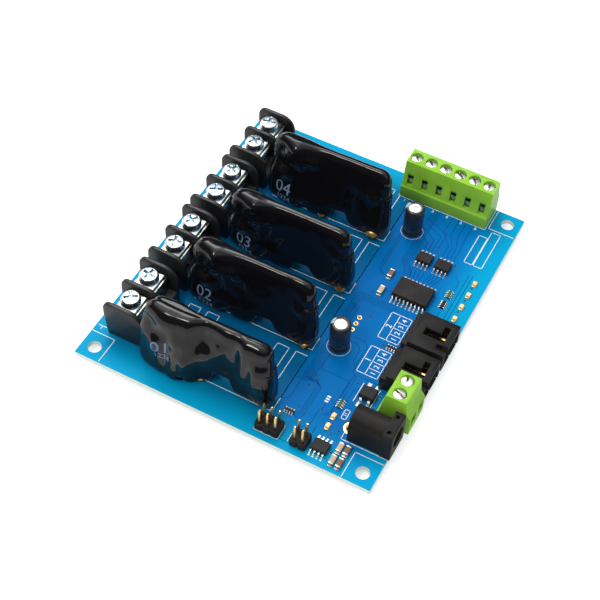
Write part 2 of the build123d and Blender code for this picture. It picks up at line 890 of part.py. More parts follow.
# The board, drilled last, when every lead has asked for its hole
def circuit_board():
    plate = block(left, right, front, -front, 0, top)
    plate = fillet(plate.edges().filter_by(Axis.Z), board_corner_radius)
    for side_x in (-1, 1):
        for side_y in (-1, 1):
            x = side_x * (right - mounting_hole_inset_x)
            y = side_y * (-front - mounting_hole_inset_y)
            plate -= rod(x, y, 0, top, mounting_hole_diameter)
    for place in range(3):
        plate -= rod(strip_x + 7.73, front + 47.65 + place * pin_pitch, 0, top, pin_size * 1.4)
    return plate - [block(x - half, x + half, y - half, y + half, 0, top) for x, y, half in drilled]


save("circuit_board", [circuit_board()])
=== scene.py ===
import math
import bmesh
import bpy
import numpy as np
from mathutils import Matrix, Vector, noise


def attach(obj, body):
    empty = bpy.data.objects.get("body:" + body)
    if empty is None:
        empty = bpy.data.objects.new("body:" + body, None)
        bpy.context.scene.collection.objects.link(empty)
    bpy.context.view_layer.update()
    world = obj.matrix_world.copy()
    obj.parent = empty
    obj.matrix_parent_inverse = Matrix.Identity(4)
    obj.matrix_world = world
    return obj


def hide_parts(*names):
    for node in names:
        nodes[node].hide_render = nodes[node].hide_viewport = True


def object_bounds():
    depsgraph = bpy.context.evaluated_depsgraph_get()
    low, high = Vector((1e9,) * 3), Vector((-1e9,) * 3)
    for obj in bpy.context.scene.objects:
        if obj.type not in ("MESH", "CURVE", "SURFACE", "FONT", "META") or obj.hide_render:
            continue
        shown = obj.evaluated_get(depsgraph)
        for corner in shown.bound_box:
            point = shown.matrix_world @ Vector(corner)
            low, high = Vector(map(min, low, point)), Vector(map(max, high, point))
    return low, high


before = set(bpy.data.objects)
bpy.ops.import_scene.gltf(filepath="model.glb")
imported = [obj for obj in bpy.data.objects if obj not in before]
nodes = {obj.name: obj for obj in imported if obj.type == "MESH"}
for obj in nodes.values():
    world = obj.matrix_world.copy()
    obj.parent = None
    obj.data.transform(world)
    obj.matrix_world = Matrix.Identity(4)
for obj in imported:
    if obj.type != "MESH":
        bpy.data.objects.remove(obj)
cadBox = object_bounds()
mm = 0.001
# sizes in mm that several pieces share, as the solids have them
boardTop = 1.6
boardCentre = (48.25, 57.15)
channels = {"count": 4, "front": 10.7, "pitch": 24.64}
outputWays = [58.8 + 5.0 * way for way in range(6)]
powerWays = (24.3, 29.3)
plugCentres = (38.65, 53.0)
pinPitch = 2.54
canPlaces = ((66.8, 40.0), (66.5, 92.3))


# x and y count in mm from the board's front left corner, z from its top face
def at(x, y, z=0.0):
    return Vector(((x - boardCentre[0]) * mm, (y - boardCentre[1]) * mm, (z + boardTop) * mm))


def linked(name, data):
    thing = bpy.data.objects.new(name, data)
    bpy.context.scene.collection.objects.link(thing)
    return thing


def evaluated(thing):
    # the object's mesh with its modifiers made real
    bpy.context.view_layer.update()
    return bpy.data.meshes.new_from_object(thing.evaluated_get(bpy.context.evaluated_depsgraph_get()))


def smoothed(mesh):
    mesh.polygons.foreach_set("use_smooth", [True] * len(mesh.polygons))


# the camera stands where the photograph was taken from
cameraSetup = {
    "lens": 80.19, "sensor": 36.0, "place": (0.10747, -0.2373, 0.31984),
    "axes": ((0.8836, -0.3873, 0.2632), (0.4668, 0.6804, -0.5649), (0.0397, 0.6220, 0.7820)),
}
camera = linked("camera", bpy.data.cameras.new("camera"))
camera.data.lens = cameraSetup["lens"]
camera.data.sensor_width = cameraSetup["sensor"]
camera.matrix_world = Matrix.Translation(cameraSetup["place"]) @ Matrix(cameraSetup["axes"]).to_4x4()
bpy.context.scene.camera = camera
bpy.context.scene.view_settings.view_transform = "Standard"


class Wire:
    # one socket of a node tree that can stand in a sum
    def __init__(self, graph, socket):
        self.graph = graph
        self.socket = socket

    def maths(self, operation, other=0.0, flipped=False):
        pair = (other, self) if flipped else (self, other)
        return self.graph.add("ShaderNodeMath", {"operation": operation}, dict(enumerate(pair)))

    def __add__(self, other):
        return self.maths("ADD", other)

    def __sub__(self, other):
        return self.maths("SUBTRACT", other)

    def __rsub__(self, other):
        return self.maths("SUBTRACT", other, True)

    def __mul__(self, other):
        return self.maths("MULTIPLY", other)

    def __gt__(self, other):
        return self.maths("GREATER_THAN", other)

    __radd__ = __add__
    __rmul__ = __mul__

    def size(self):
        return self.maths("ABSOLUTE")

    def least(self, other):
        return self.maths("MINIMUM", other)

    def most(self, other):
        return self.maths("MAXIMUM", other)

    def ease(self, low, high, start=0.0, end=1.0):
        values = {"Value": self, "From Min": low, "From Max": high, "To Min": start, "To Max": end}
        return self.graph.add("ShaderNodeMapRange", {"interpolation_type": "SMOOTHSTEP"}, values)


class Graph:
    # a node tree, and the material that it is in where there is one
    def __init__(self, tree, made=None):
        self.tree = tree
        self.made = made

    def make(self, kind, settings=None, values=None):
        node = self.tree.nodes.new(kind)
        for name, value in (settings or {}).items():
            setattr(node, name, value)
        for name, value in (values or {}).items():
            self.feed(node.inputs[name], value)
        return node

    def feed(self, socket, value):
        if isinstance(value, Wire):
            self.tree.links.new(value.socket, socket)
        elif socket.type == "RGBA" and len(value) == 3:
            socket.default_value = (*value, 1.0)
        else:
            socket.default_value = value

    def dress(self, **values):
        # the shader's sockets by their names, with a low line for each space
        shader = self.tree.nodes["Principled BSDF"]
        for name, value in values.items():
            self.feed(shader.inputs[name.replace("_", " ")], value)
        return self.made

    def add(self, kind, settings=None, values=None, out=0):
        return Wire(self, self.make(kind, settings, values).outputs[out])

    def colours(self, amount, first, second):
        return self.add("ShaderNodeMix", {"data_type": "RGBA"}, {0: amount, 6: first, 7: second}, 2)

    def place(self):
        return self.add("ShaderNodeTexCoord", None, None, "Object")

    def ray(self, kind):
        return self.add("ShaderNodeLightPath", None, None, f"Is {kind} Ray")

    def axes(self, vector=None):
        node = self.make("ShaderNodeSeparateXYZ", None, {0: vector or self.place()})
        return [Wire(self, node.outputs[k]) for k in range(3)]

    def cloud(self, scale, detail=2.0):
        values = {"Vector": self.place(), "Scale": scale, "Detail": detail}
        return self.add("ShaderNodeTexNoise", None, values, "Fac")

    def bump(self, height, strength, distance):
        values = {"Height": height, "Strength": strength, "Distance": distance}
        return self.add("ShaderNodeBump", None, values)


def finish(name, **fixed):
    # the graph of a new material whose shader has its fixed values set
    made = bpy.data.materials.new(name)
    made.use_nodes = True
    graph = Graph(made.node_tree, made)
    graph.dress(**fixed)
    return graph


def onLook(graph):
    # 1 for camera, mirror and glass rays
    return graph.ray("Camera").most(graph.ray("Glossy")).most(graph.ray("Transmission"))


white = (1.0, 1.0, 1.0)
lighting = {
    "worldLevel": 0.72, "horizon": 0.06, "dimBelow": 0.5, "brightAbove": 0.82,
    # each lamp looks at the origin: shape, place and size in m, power in W, colour
    "lamps": {
        "keyLight": ("DISK", (-0.32, 0.34, 0.62), (0.36, 0.36), 1.9, white),
        "topLight": ("RECTANGLE", (-0.24, 0.16, 0.8), (0.8, 0.8), 3.6, white),
        "stripLight": ("RECTANGLE", (-0.25, -0.51, 0.76), (0.18, 0.16), 2.4, (1.0, 0.93, 0.82)),
        "sideLight": ("RECTANGLE", (-0.9, 0.02, 0.2), (0.5, 0.35), 1.2, white),
    },
}


def lightWorld():
    world = bpy.data.worlds.new("studio")
    world.use_nodes = True
    bpy.context.scene.world = world
    graph = Graph(world.node_tree)
    back = world.node_tree.nodes["Background"]
    graph.feed(back.inputs["Color"], white)
    # mirrors see the pale sky overhead and a dim room at the horizon
    mirrored = graph.ray("Glossy")
    rise = graph.axes(graph.add("ShaderNodeTexCoord", None, None, "Generated"))[2]
    level = onLook(graph).ease(0, 1, lighting["worldLevel"], 1.0)
    room = rise.ease(lighting["dimBelow"], lighting["brightAbove"], lighting["horizon"], 1.0)
    graph.feed(back.inputs["Strength"], level * (mirrored * room + (1 - mirrored)))


def areaLight(name, shape, place, size, power, colour):
    lamp = bpy.data.lights.new(name, "AREA")
    lamp.color = colour
    lamp.shape = shape
    lamp.size, lamp.size_y = size
    lamp.energy = power
    turned = (-Vector(place)).to_track_quat("-Z", "Y").to_matrix().to_4x4()
    linked(name, lamp).matrix_world = Matrix.Translation(place) @ turned


lightWorld()
for name, values in lighting["lamps"].items():
    areaLight(name, *values)


def meshPiece(name, points, faces, material=None, edges=()):
    mesh = bpy.data.meshes.new(name)
    mesh.from_pydata([tuple(p) for p in points], list(edges), faces)
    if material:
        mesh.materials.append(material)
    return linked(name, mesh)


def seat(piece, slot, *replaced):
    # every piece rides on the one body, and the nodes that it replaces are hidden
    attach(piece, "root")
    if replaced:
        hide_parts(*replaced)
    return piece


floorSetup = {"half": 2.0, "level": -0.0019, "tone": 0.82, "glow": 0.5, "mirrored": 0.1}
floorGraph = finish("floorPaint", Roughness=0.9, Emission_Strength=1.0)
floorTone = floorGraph.cloud(3.0).ease(0.3, 0.7, floorSetup["tone"] - 0.01, floorSetup["tone"])
glow, mirrored = (floorSetup["glow"],) * 3, (floorSetup["mirrored"],) * 3
shine = floorGraph.colours(floorGraph.ray("Glossy"), glow, mirrored)
shine = floorGraph.colours(onLook(floorGraph), (0.0, 0.0, 0.0), shine)
floorPaint = floorGraph.dress(Base_Color=floorTone, Emission_Color=shine)
half, level = floorSetup["half"], floorSetup["level"]
corners = [(-half, -half, level), (half, -half, level), (half, half, level), (-half, half, level)]
floor = meshPiece("floor", corners, [(0, 1, 2, 3)], floorPaint)
print("camera, floor and light are set")


# tones of the blue coat; the rim tone near the edges is partly the bare margin without copper and partly
# painted light shining through the glass fibre
maskTone = {
    "field": (0.0005, 0.112, 0.36), "pour": (0.0007, 0.13, 0.40), "bare": (0.0008, 0.10, 0.235),
    "rim": (0.001, 0.30, 0.54), "rimFrom": 0.002, "rimTo": 0.018, "copperFrom": 0.0125,
}


def boardFinish():
    # blue coat on top and below, pale glass fibre at the sides and in the holes
    graph = finish("blueMask", IOR=1.5, Specular_IOR_Level=0.025)
    x, y, z = graph.axes()
    # how far a spot lies in from the nearest edge of the board
    inward = (boardCentre[0] * mm - x.size()).least(boardCentre[1] * mm - y.size())
    cloudy = graph.cloud(28.0, 3.0)
    tone = graph.colours(cloudy.ease(0.35, 0.65), maskTone["field"], maskTone["pour"])
    left = (x - maskTone["copperFrom"]).ease(-0.0006, 0.0006)
    tone = graph.colours((1 - left) * 0.8, tone, maskTone["bare"])
    # painted light: towards the edges the coat turns pale cyan, partly for the bare margin without copper and
    # partly as light shining through the glass fibre
    pale = (inward + graph.cloud(60.0) * 0.004).ease(maskTone["rimFrom"], maskTone["rimTo"], 0.95, 0.0)
    glow = graph.colours(pale, tone, maskTone["rim"])
    weave = graph.cloud(1400.0, 2.0)
    fibre = graph.colours(weave, (0.60, 0.68, 0.60), (0.78, 0.82, 0.74))
    facing = graph.axes(graph.add("ShaderNodeNewGeometry", None, None, "Normal"))[2]
    flat = facing.size().ease(0.6, 0.8)
    graph.dress(Base_Color=graph.colours(flat, fibre, glow))
    relief = graph.cloud(900.0, 2.0) * 0.5 + graph.cloud(160.0, 1.0)
    rough = flat.ease(0, 1, 0.7, 0.3) + cloudy * 0.05
    return graph.dress(Roughness=rough, Normal=graph.bump(relief, 0.12, 0.00008))


def plasticFinish(name, dark, light, rough, grain=1800.0, depth=0.00004, strength=0.25, speck=0, gloss=0.14):
    # moulded plastic: fine grain, slow change of tone and gloss
    graph = finish(name, IOR=1.48, Specular_IOR_Level=gloss)
    slow = graph.cloud(120.0, 3.0)
    fine = graph.cloud(grain, 3.0)
    tone = graph.colours(slow.ease(0.3, 0.7), dark, light)
    if speck:
        tone = graph.colours((fine > 0.66) * speck, tone, light)
    relief = graph.bump(fine, strength, depth)
    return graph.dress(Base_Color=tone, Roughness=slow * 0.16 + (rough - 0.08), Normal=relief)


def metalFinish(name, dark, light, rough, scratch=600.0, tint=None):
    # plated metal: cloudy tone, fine scratches, duller where it is handled
    graph = finish(name, Metallic=1.0)
    slow = graph.cloud(260.0, 3.0)
    fine = graph.cloud(scratch * 5, 2.0)
    tone = graph.colours(slow.ease(0.35, 0.65), dark, light)
    if tint:
        tone = graph.colours(graph.cloud(420.0).ease(0.5, 0.7, 0.0, 0.7), tone, tint)
    wear = fine * 0.16 + slow * 0.14 + (rough - 0.15)
    relief = graph.bump(graph.cloud(scratch, 4.0), 0.15, 0.00005)
    return graph.dress(Base_Color=tone, Roughness=wear, Normal=relief)


blueMask = boardFinish()
blackBarrier = plasticFinish("blackBarrier", (0.011, 0.011, 0.013), (0.018, 0.018, 0.02), 0.36, gloss=0.34)
blackMoulding = plasticFinish("blackMoulding", (0.008, 0.008, 0.008), (0.016, 0.015, 0.015), 0.5, 2200.0)
chipMoulding = plasticFinish(
    "chipMoulding", (0.014, 0.013, 0.013), (0.026, 0.025, 0.024), 0.55, 5200.0, 0.00006, 0.4, 0.3,
)
greenMoulding = plasticFinish("greenMoulding", (0.20, 0.45, 0.03), (0.24, 0.50, 0.045), 0.40)
tentedCopper = plasticFinish("tentedCopper", (0.030, 0.050, 0.055), (0.075, 0.070, 0.045), 0.4, 3000.0)
bungRubber = plasticFinish("bungRubber", (0.01, 0.01, 0.01), (0.02, 0.02, 0.02), 0.8)
zincPlate = metalFinish("zincPlate", (0.48, 0.54, 0.58), (0.76, 0.79, 0.80), 0.26, 600.0, (0.24, 0.50, 0.66))
slotSteel = metalFinish("slotSteel", (0.60, 0.60, 0.58), (0.84, 0.84, 0.82), 0.2, 700.0)
contactPlate = metalFinish(
    "contactPlate", (0.10, 0.11, 0.09), (0.44, 0.46, 0.40), 0.22, 500.0, (0.70, 0.72, 0.68),
)
clampPlate = metalFinish(
    "clampPlate", (0.16, 0.18, 0.18), (0.50, 0.53, 0.53), 0.26, 600.0, (0.80, 0.82, 0.82),
)
tinPlate = metalFinish("tinPlate", (0.50, 0.48, 0.44), (0.74, 0.73, 0.70), 0.30)
goldPlate = metalFinish("goldPlate", (0.64, 0.38, 0.11), (0.92, 0.63, 0.26), 0.26)
canMetal = metalFinish("canMetal", (0.72, 0.72, 0.72), (0.86, 0.86, 0.86), 0.42, 900.0)
solderMetal = metalFinish("solderMetal", (0.22, 0.23, 0.23), (0.42, 0.42, 0.40), 0.3, 900.0)


def relayFinish():
    # thick glossy dip, amber where it runs thin at the feet
    graph = finish("relayDip", IOR=1.5, Specular_IOR_Level=0.3)
    x, y, z = graph.axes()
    thin = graph.cloud(260.0, 2.0) * 0.0022 + z
    foot = thin.ease(0.0042, 0.0085, 1.0, 0.0)
    right = (x + graph.cloud(150.0) * 0.002).ease(0.0045, 0.009)
    streak = graph.cloud(500.0, 3.0).ease(0.45, 0.7)
    amber = graph.colours(streak, (0.030, 0.014, 0.006), (0.22, 0.10, 0.03))
    black = graph.colours(graph.cloud(90.0, 2.0), (0.0035, 0.0035, 0.0045), (0.006, 0.006, 0.0075))
    ripple = graph.cloud(180.0, 2.0) + graph.cloud(700.0, 2.0) * 0.12
    rough = graph.cloud(200.0, 2.0).ease(0.3, 0.7, 0.06, 0.13)
    tone = graph.colours(foot * right, black, amber)
    return graph.dress(Base_Color=tone, Roughness=rough, Normal=graph.bump(ripple, 0.35, 0.0003))


def dropFinish():
    # clear amber over bright metal
    graph = finish("amberDip", Metallic=0.7, IOR=1.5)
    patch = graph.cloud(420.0, 2.0)
    tone = graph.colours(patch.ease(0.4, 0.62), (0.10, 0.045, 0.015), (0.72, 0.40, 0.12))
    rough = graph.cloud(600.0) * 0.2 + 0.1
    return graph.dress(Base_Color=tone, Roughness=rough, Normal=graph.bump(patch, 0.3, 0.0002))


def inkFinish():
    # white print, a little uneven where it is thin
    graph = finish("whiteInk", Roughness=0.5)
    patch = graph.cloud(1500.0, 3.0)
    tone = graph.colours(patch.ease(0.3, 0.6), (0.62, 0.72, 0.78), (0.82, 0.86, 0.87))
    return graph.dress(Base_Color=tone, Normal=graph.bump(patch, 0.2, 0.00002))


def traceFinish():
    # the gap beside a copper track, seen through the blue coat
    graph = finish("trackShade", Specular_IOR_Level=0.04)
    patch = graph.cloud(300.0, 2.0)
    tone = graph.colours(patch, (0.0005, 0.05, 0.185), (0.0006, 0.062, 0.215))
    return graph.dress(Base_Color=tone, Roughness=patch * 0.1 + 0.2)


relayDip, amberDip = relayFinish(), dropFinish()
whiteInk = inkFinish()
paleMark = plasticFinish("paleMark", (0.10, 0.17, 0.30), (0.17, 0.26, 0.40), 0.5, 2600.0)
trackShade = traceFinish()

# the longest name that a node starts with gives its finish
nodeFinish = {
    "circuit_board": blueMask, "barrier_housing": blackBarrier, "barrier_clamp_plates": clampPlate,
    "barrier_screws": zincPlate, "terminal_block_screws": zincPlate, "relay_body": relayDip,
    "output_block": greenMoulding, "power_block": greenMoulding, "jack_housing": blackMoulding,
    "bus_header_in_housing": blackMoulding, "bus_header_out_housing": blackMoulding, "bus_header": goldPlate,
    "address_header_base": blackMoulding, "address_header": goldPlate,
    "pullup_header_base": blackMoulding, "pullup_header": goldPlate,
}
for number in (1, 2):
    nodeFinish[f"capacitor_{number}_can"] = canMetal
    nodeFinish[f"capacitor_{number}_bung"] = bungRubber
    nodeFinish[f"capacitor_{number}_sleeve"] = blackMoulding
for name, thing in nodes.items():
    fitting = [key for key in nodeFinish if name.startswith(key)]
    if fitting:
        chosen = nodeFinish[max(fitting, key=len)]
    else:
        chosen = chipMoulding if name.endswith("_body") else tinPlate
    thing.data.materials.clear()
    thing.data.materials.append(chosen)
print("the frame's nodes have their finishes")


def grown(source, title, inputs, build, material):
    # runs a tree of geometry nodes on an object and leaves one plain mesh
    tree = bpy.data.node_groups.new(title, "GeometryNodeTree")
    face = tree.interface
    face.new_socket("Geometry", in_out="INPUT", socket_type="NodeSocketGeometry")
    kinds = {float: "NodeSocketFloat", int: "NodeSocketInt", bpy.types.Object: "NodeSocketObject"}
    named = {}
    for key, value in inputs.items():
        named[key] = face.new_socket(key, in_out="INPUT", socket_type=kinds[type(value)]).identifier
    face.new_socket("Geometry", in_out="OUTPUT", socket_type="NodeSocketGeometry")
    graph = Graph(tree)
    entry = tree.nodes.new("NodeGroupInput")
    given = {key: Wire(graph, entry.outputs[key]) for key in ["Geometry", *inputs]}
    shape = build(graph, given)
    shape = graph.add("GeometryNodeRealizeInstances", None, {"Geometry": shape})
    shape = graph.add("GeometryNodeSetMaterial", None, {"Geometry": shape, "Material": material})
    graph.feed(tree.nodes.new("NodeGroupOutput").inputs[0], shape)
    modifier = source.modifiers.new(title, "NODES")
    modifier.node_group = tree
    for key, value in inputs.items():
        modifier[named[key]] = value
    piece = linked(title, evaluated(source))
    bpy.data.objects.remove(source)
    return piece


def bands(title, lines, form, material):
    # flat bands of ink or copper along open lines on the board
    # each straight run reaches half a width past its ends, so corners are full
    points, edges = [], []
    for line in lines:
        for start, end in zip(line, line[1:]):
            run = Vector((end[0] - start[0], end[1] - start[1]))
            past = run.normalized() * form["width"] / 2
            edges.append((len(points), len(points) + 1))
            level = form["sink"] + form["high"] / 2
            points.append(at(start[0] - past.x, start[1] - past.y, level))
            points.append(at(end[0] + past.x, end[1] + past.y, level))
    source = meshPiece(title + "Lines", points, [], edges=edges)

    def build(graph, given):
        curve = graph.add("GeometryNodeMeshToCurve", None, {"Mesh": given["Geometry"]})
        curve = graph.add("GeometryNodeSetCurveNormal", {"mode": "Z_UP"}, {"Curve": curve})
        values = {"Width": given["Width"], "Height": given["Height"]}
        outline = graph.add("GeometryNodeCurvePrimitiveQuadrilateral", None, values)
        values = {"Curve": curve, "Profile Curve": outline, "Fill Caps": True}
        return graph.add("GeometryNodeCurveToMesh", None, values)

    sizes = {"Width": form["width"] * mm, "Height": form["high"] * mm}
    return grown(source, title, sizes, build, material)


# what a spot of a copy has where it doesn't say: x, y, z, turn about Z and size
usualSpot = (0.0, 0.0, 0.0, 0.0, 1.0)


def copies(title, base, spots, material, slot, *replaced):
    # one small base mesh set down at many spots
    spots = [(*spot, *usualSpot[len(spot):]) for spot in spots]
    source = meshPiece(title + "Spots", [at(*spot[:3]) for spot in spots], [])
    for name, column in (("turn", 3), ("large", 4)):
        held = source.data.attributes.new(name, "FLOAT", "POINT")
        held.data.foreach_set("value", [spot[column] for spot in spots])

    def build(graph, given):
        kind, settings = "GeometryNodeInputNamedAttribute", {"data_type": "FLOAT"}
        turn, large = (graph.add(kind, settings, {"Name": name}) for name in ("turn", "large"))
        model = graph.add("GeometryNodeObjectInfo", None, {"Object": given["Base"]}, "Geometry")
        axis = graph.add("ShaderNodeCombineXYZ", None, {2: turn})
        values = {"Points": given["Geometry"], "Instance": model, "Rotation": axis, "Scale": large}
        return graph.add("GeometryNodeInstanceOnPoints", None, values)

    piece = grown(source, title, {"Base": base}, build, material)
    bpy.data.objects.remove(base)
    seat(piece, slot, *replaced)


def ringPiece(name, points, sides):
    # a smooth mesh from rings of points, each ring with as many sides
    faces = []
    for ring in range(0, len(points) - sides, sides):
        for k in range(sides):
            a, b = ring + k, ring + (k + 1) % sides
            faces.append((a, b, b + sides, a + sides))
    piece = meshPiece(name, points, faces)
    smoothed(piece.data)
    tidy(piece.data)
    return piece


def ringPoint(radius, height, k, sides):
    angle = 2 * math.pi * k / sides
    return Vector((radius * math.cos(angle), radius * math.sin(angle), height)) * mm


def turned(name, outline, sides=32):
    # a lathe-turned base mesh from (radius, height) pairs in mm, open ends closed by zero radii
    points = [ringPoint(radius, height, k, sides) for radius, height in outline for k in range(sides)]
    return ringPiece(name, points, sides)


def tidy(mesh, reach=0.000001):
    # doubles merged, normals outwards
    work = bmesh.new()
    work.from_mesh(mesh)
    bmesh.ops.remove_doubles(work, verts=work.verts, dist=reach)
    bmesh.ops.dissolve_degenerate(work, edges=work.edges, dist=reach)
    bmesh.ops.recalc_face_normals(work, faces=work.faces)
    work.to_mesh(mesh)
    work.free()


def applied(piece):
    # the piece with its modifiers made real
    mesh, old = evaluated(piece), piece.data
    piece.modifiers.clear()
    piece.data = mesh
    bpy.data.meshes.remove(old)


def copyOf(node, name):
    piece = linked(name, nodes[node].data.copy())
    tidy(piece.data)
    return piece


def softened(node, name, slot, width):
    # a copy of a moulded node with its sharp edges rounded
    piece = copyOf(node, name)
    work = bmesh.new()
    work.from_mesh(piece.data)
    inner = [edge for edge in work.edges if len(edge.link_faces) == 2]
    flatEdges = [edge for edge in inner if edge.calc_face_angle() < 0.01]
    bmesh.ops.dissolve_edges(work, edges=flatEdges, use_verts=True)
    work.to_mesh(piece.data)
    work.free()
    bevel = piece.modifiers.new("soft", "BEVEL")
    bevel.width = width * mm
    bevel.segments = 2
    bevel.limit_method = "ANGLE"
    bevel.angle_limit = math.radians(40)
    bevel.use_clamp_overlap = True
    applied(piece)
    smoothed(piece.data)
    piece.data.set_sharp_from_angle(angle=math.radians(35))
    seat(piece, slot, node)


relayForm = {
    "left": 17.9, "front": 12.7, "height": 24.0, "voxel": 0.42, "soften": 11,
    "leans": [math.tan(math.radians(angle)) for angle in (2.0, 3.5, -2.0, 6.0)],
    # the dip's thickness as a share of the solid's, and how far the left end moves in
    "topThin": 0.52, "footThick": 1.12, "endTaper": 0.5, "leftIn": 0.9,
    # swelling all over, at the right foot, by noise, and past the solid's top
    "swell": 0.38, "footSwell": 0.5, "coarse": 0.34, "fine": 0.12, "overTop": 0.3, "clearance": 0.12,
    # how much further a bump of the first reaches down than up, and a bump's share at the end
    "sag": 2.4, "endShare": 0.4,
    # bumps and dents on the front face: along, up, reach along, reach up, height in mm
    "usual": [
        (7.0, 20.0, 8.0, 4.2, 1.7), (9.3, 22.2, 1.8, 1.4, 0.8), (11.5, 18.8, 2.2, 1.5, 0.9),
        (15.6, 19.4, 1.8, 1.7, 0.9), (6.0, 12.6, 3.0, 2.4, 1.7), (5.0, 20.2, 1.9, 1.9, -0.9),
        (2.0, 10.5, 2.6, 2.6, 0.8), (9.0, 4.0, 9.0, 6.0, 1.9), (20.5, 4.0, 6.0, 5.0, 1.0),
        (36.6, 15.0, 2.0, 2.0, 0.9), (30.0, 10.0, 1.8, 5.5, -0.6), (39.4, 20.4, 2.0, 2.4, 0.8),
        (37.6, 4.5, 4.5, 4.0, 0.9), (34.0, 12.0, 1.4, 6.0, -0.4),
    ],
    "first": [
        (3.5, 19.5, 2.0, 2.4, -0.7), (5.6, 13.0, 3.2, 2.6, 2.2), (12.8, 25.0, 3.4, 1.3, -0.5),
        (16.6, 10.6, 2.6, 2.1, 0.9), (19.2, 12.6, 2.6, 2.1, 1.1), (22.0, 15.2, 2.6, 2.1, 1.0),
        (25.2, 18.0, 2.2, 2.2, 0.8), (26.5, 22.0, 3.4, 3.0, 0.5), (27.5, 10.0, 2.4, 5.0, -0.8),
        (38.5, 5.0, 3.2, 3.4, 0.6),
    ],
    # swollen parts of the first: start and end along, slant of the end, foot, top, fall, height in mm
    "bellies": [
        (-3.0, 18.0, 0.0, -9.0, 27.0, 6.2, 2.8), (9.0, 21.0, 5.0, -9.0, 21.5, 6.5, 1.2),
        (-1.0, 13.0, 0.0, -9.0, 13.0, 13.0, 1.2), (29.5, 39.5, 0.0, 5.0, 26.6, 5.4, 1.5),
        (34.0, 43.0, 0.0, 4.0, 21.4, 5.4, 1.4),
    ],
}


def relayRow(number):
    # y of a relay's row of leads, in mm from the board's front edge
    return relayForm["front"] + channels["pitch"] * number


def eased(share):
    share = np.clip(share, 0, 1)
    return share * share * (3 - 2 * share)


def relaySwelling(number, along, up, outward):
    # how far the coating's bellies and bumps stand out at each point, in mm
    first = number == 0
    facing = np.clip(-outward[:, 1] * 1.3 + 0.25, 0, 1)
    forward = np.clip(-outward[:, 1] * 1.4 - 0.1, 0, 1)
    end = np.clip(-outward[:, 0], 0, 1) * (along < 3)
    push = relayForm["swell"] + relayForm["footSwell"] * np.exp(-((along - 41.0) / 1.6) ** 2) * (up < 16)
    for start, last, slant, foot, top, fall, height in relayForm["bellies"] if first else ():
        edge = last + slant * np.clip((up - 4.0) / 14.0, 0, 1) ** 1.3
        span = eased((along - start) / 4.0) * eased((edge - along) / 5.0 + 0.5)
        span *= eased((up - foot) / 8.0)
        push += height * span * eased((top - up) / fall) * forward
    for x, z, wide, tall, height in relayForm["first" if first else "usual"]:
        # no two relays have a bump at quite the same place
        x += 0.5 * math.sin(number * 2.1 + x)
        z += 0.4 * math.cos(number * 1.7 + z)
        below = tall * (relayForm["sag"] if first and height > 0 else 1.0)
        near = np.exp(-((along - x) / wide) ** 2 - ((up - z) / np.where(up < z, below, tall)) ** 2)
        push += height * near * np.maximum(facing, end * relayForm["endShare"])
    return push


def relayPiece(number):
    # the first relay starts as its neighbour's plain slab, and its bellies are pushed out of it
    source = max(number, 1)
    piece = copyOf(f"relay_body_{source + 1}", f"relayDip{number + 1}")
    remesh = piece.modifiers.new("even", "REMESH")
    remesh.mode = "VOXEL"
    remesh.voxel_size = relayForm["voxel"] * mm
    soft = piece.modifiers.new("soft", "SMOOTH")
    soft.iterations = relayForm["soften"]
    applied(piece)
    mesh = piece.data
    place = np.empty(len(mesh.vertices) * 3)
    mesh.vertices.foreach_get("co", place)
    place = place.reshape(-1, 3)
    outward = np.array([vertex.normal[:] for vertex in mesh.vertices])
    along = (place[:, 0] / mm + boardCentre[0]) - relayForm["left"]
    up = place[:, 2] / mm - boardTop
    # the dip hangs: thin at the top right, thick at the foot
    height = np.clip(up / relayForm["height"], 0, 1)
    thinned = height ** 1.5 * (0.25 + 0.75 * eased((along - 5.0) / 16.0))
    thick = relayForm["footThick"] + (relayForm["topThin"] - relayForm["footThick"]) * thinned
    thick *= 1 - relayForm["endTaper"] * (1 - eased(along / 9.0)) * (0.3 + 0.7 * height)
    rowY = at(0, relayRow(number)).y
    shift = (source - number) * channels["pitch"] * mm
    before = rowY + shift + relayForm["leans"][source] * place[:, 2]
    middle = rowY + relayForm["leans"][number] * place[:, 2]
    place[:, 1] = middle + (place[:, 1] - before) * thick
    place[:, 0] += relayForm["leftIn"] * mm * np.clip(1 - along / 14.0, 0, 1)
    push = relaySwelling(number, along, up, outward)
    for k in range(len(place)):
        spot = Vector(place[k]) * 95.0 + Vector((number * 7.3, 0, 0))
        push[k] += relayForm["coarse"] * noise.noise(spot) + relayForm["fine"] * noise.noise(spot * 2.7)
    place += outward * (push * mm)[:, None]
    # the swollen crown is brought back to the solid's height, and the foot kept off the board
    place[:, 2] *= min(1.0, (cadBox[1][2] + relayForm["overTop"] * mm) / place[:, 2].max())
    place[:, 2] = np.maximum(place[:, 2], (boardTop + relayForm["clearance"]) * mm)
    mesh.vertices.foreach_set("co", place.reshape(-1))
    smoothed(mesh)
    fine = piece.modifiers.new("fine", "SUBSURF")
    fine.levels = fine.render_levels = 1
    applied(piece)
    piece.data.materials.clear()
    piece.data.materials.append(relayDip)
    return seat(piece, "relay_coating", f"relay_body_{number + 1}")


relayPieces = [relayPiece(number) for number in range(channels["count"])]

# thin amber drops where the dip ran down the leads: channel, along, front of the row, size
dropForm = [
    (0, 19.4, 3.2, 1.3), (0, 40.2, 2.6, 1.1), (1, 40.4, 2.8, 1.3), (2, 19.2, 2.8, 0.9), (2, 39.6, 3.0, 1.5),
    (3, 10.6, 3.0, 1.1), (3, 20.6, 3.0, 1.5), (3, 38.6, 3.0, 1.9),
]
dropOutline = [(0.0, -0.9), (0.5, -0.82), (0.95, -0.5), (1.15, 0.0), (1.05, 0.5), (0.7, 0.9), (0.0, 1.1)]
dropSpots = []
for channel, along, forward, large in dropForm:
    x, y = relayForm["left"] + along, relayRow(channel) - forward
    dropSpots.append((x, y, 0.25 + 0.9 * large, 0.0, large))
copies("amberDrops", turned("dropBase", dropOutline, 28), dropSpots, amberDip, "relay_coating")
print("the relay bodies are dipped")


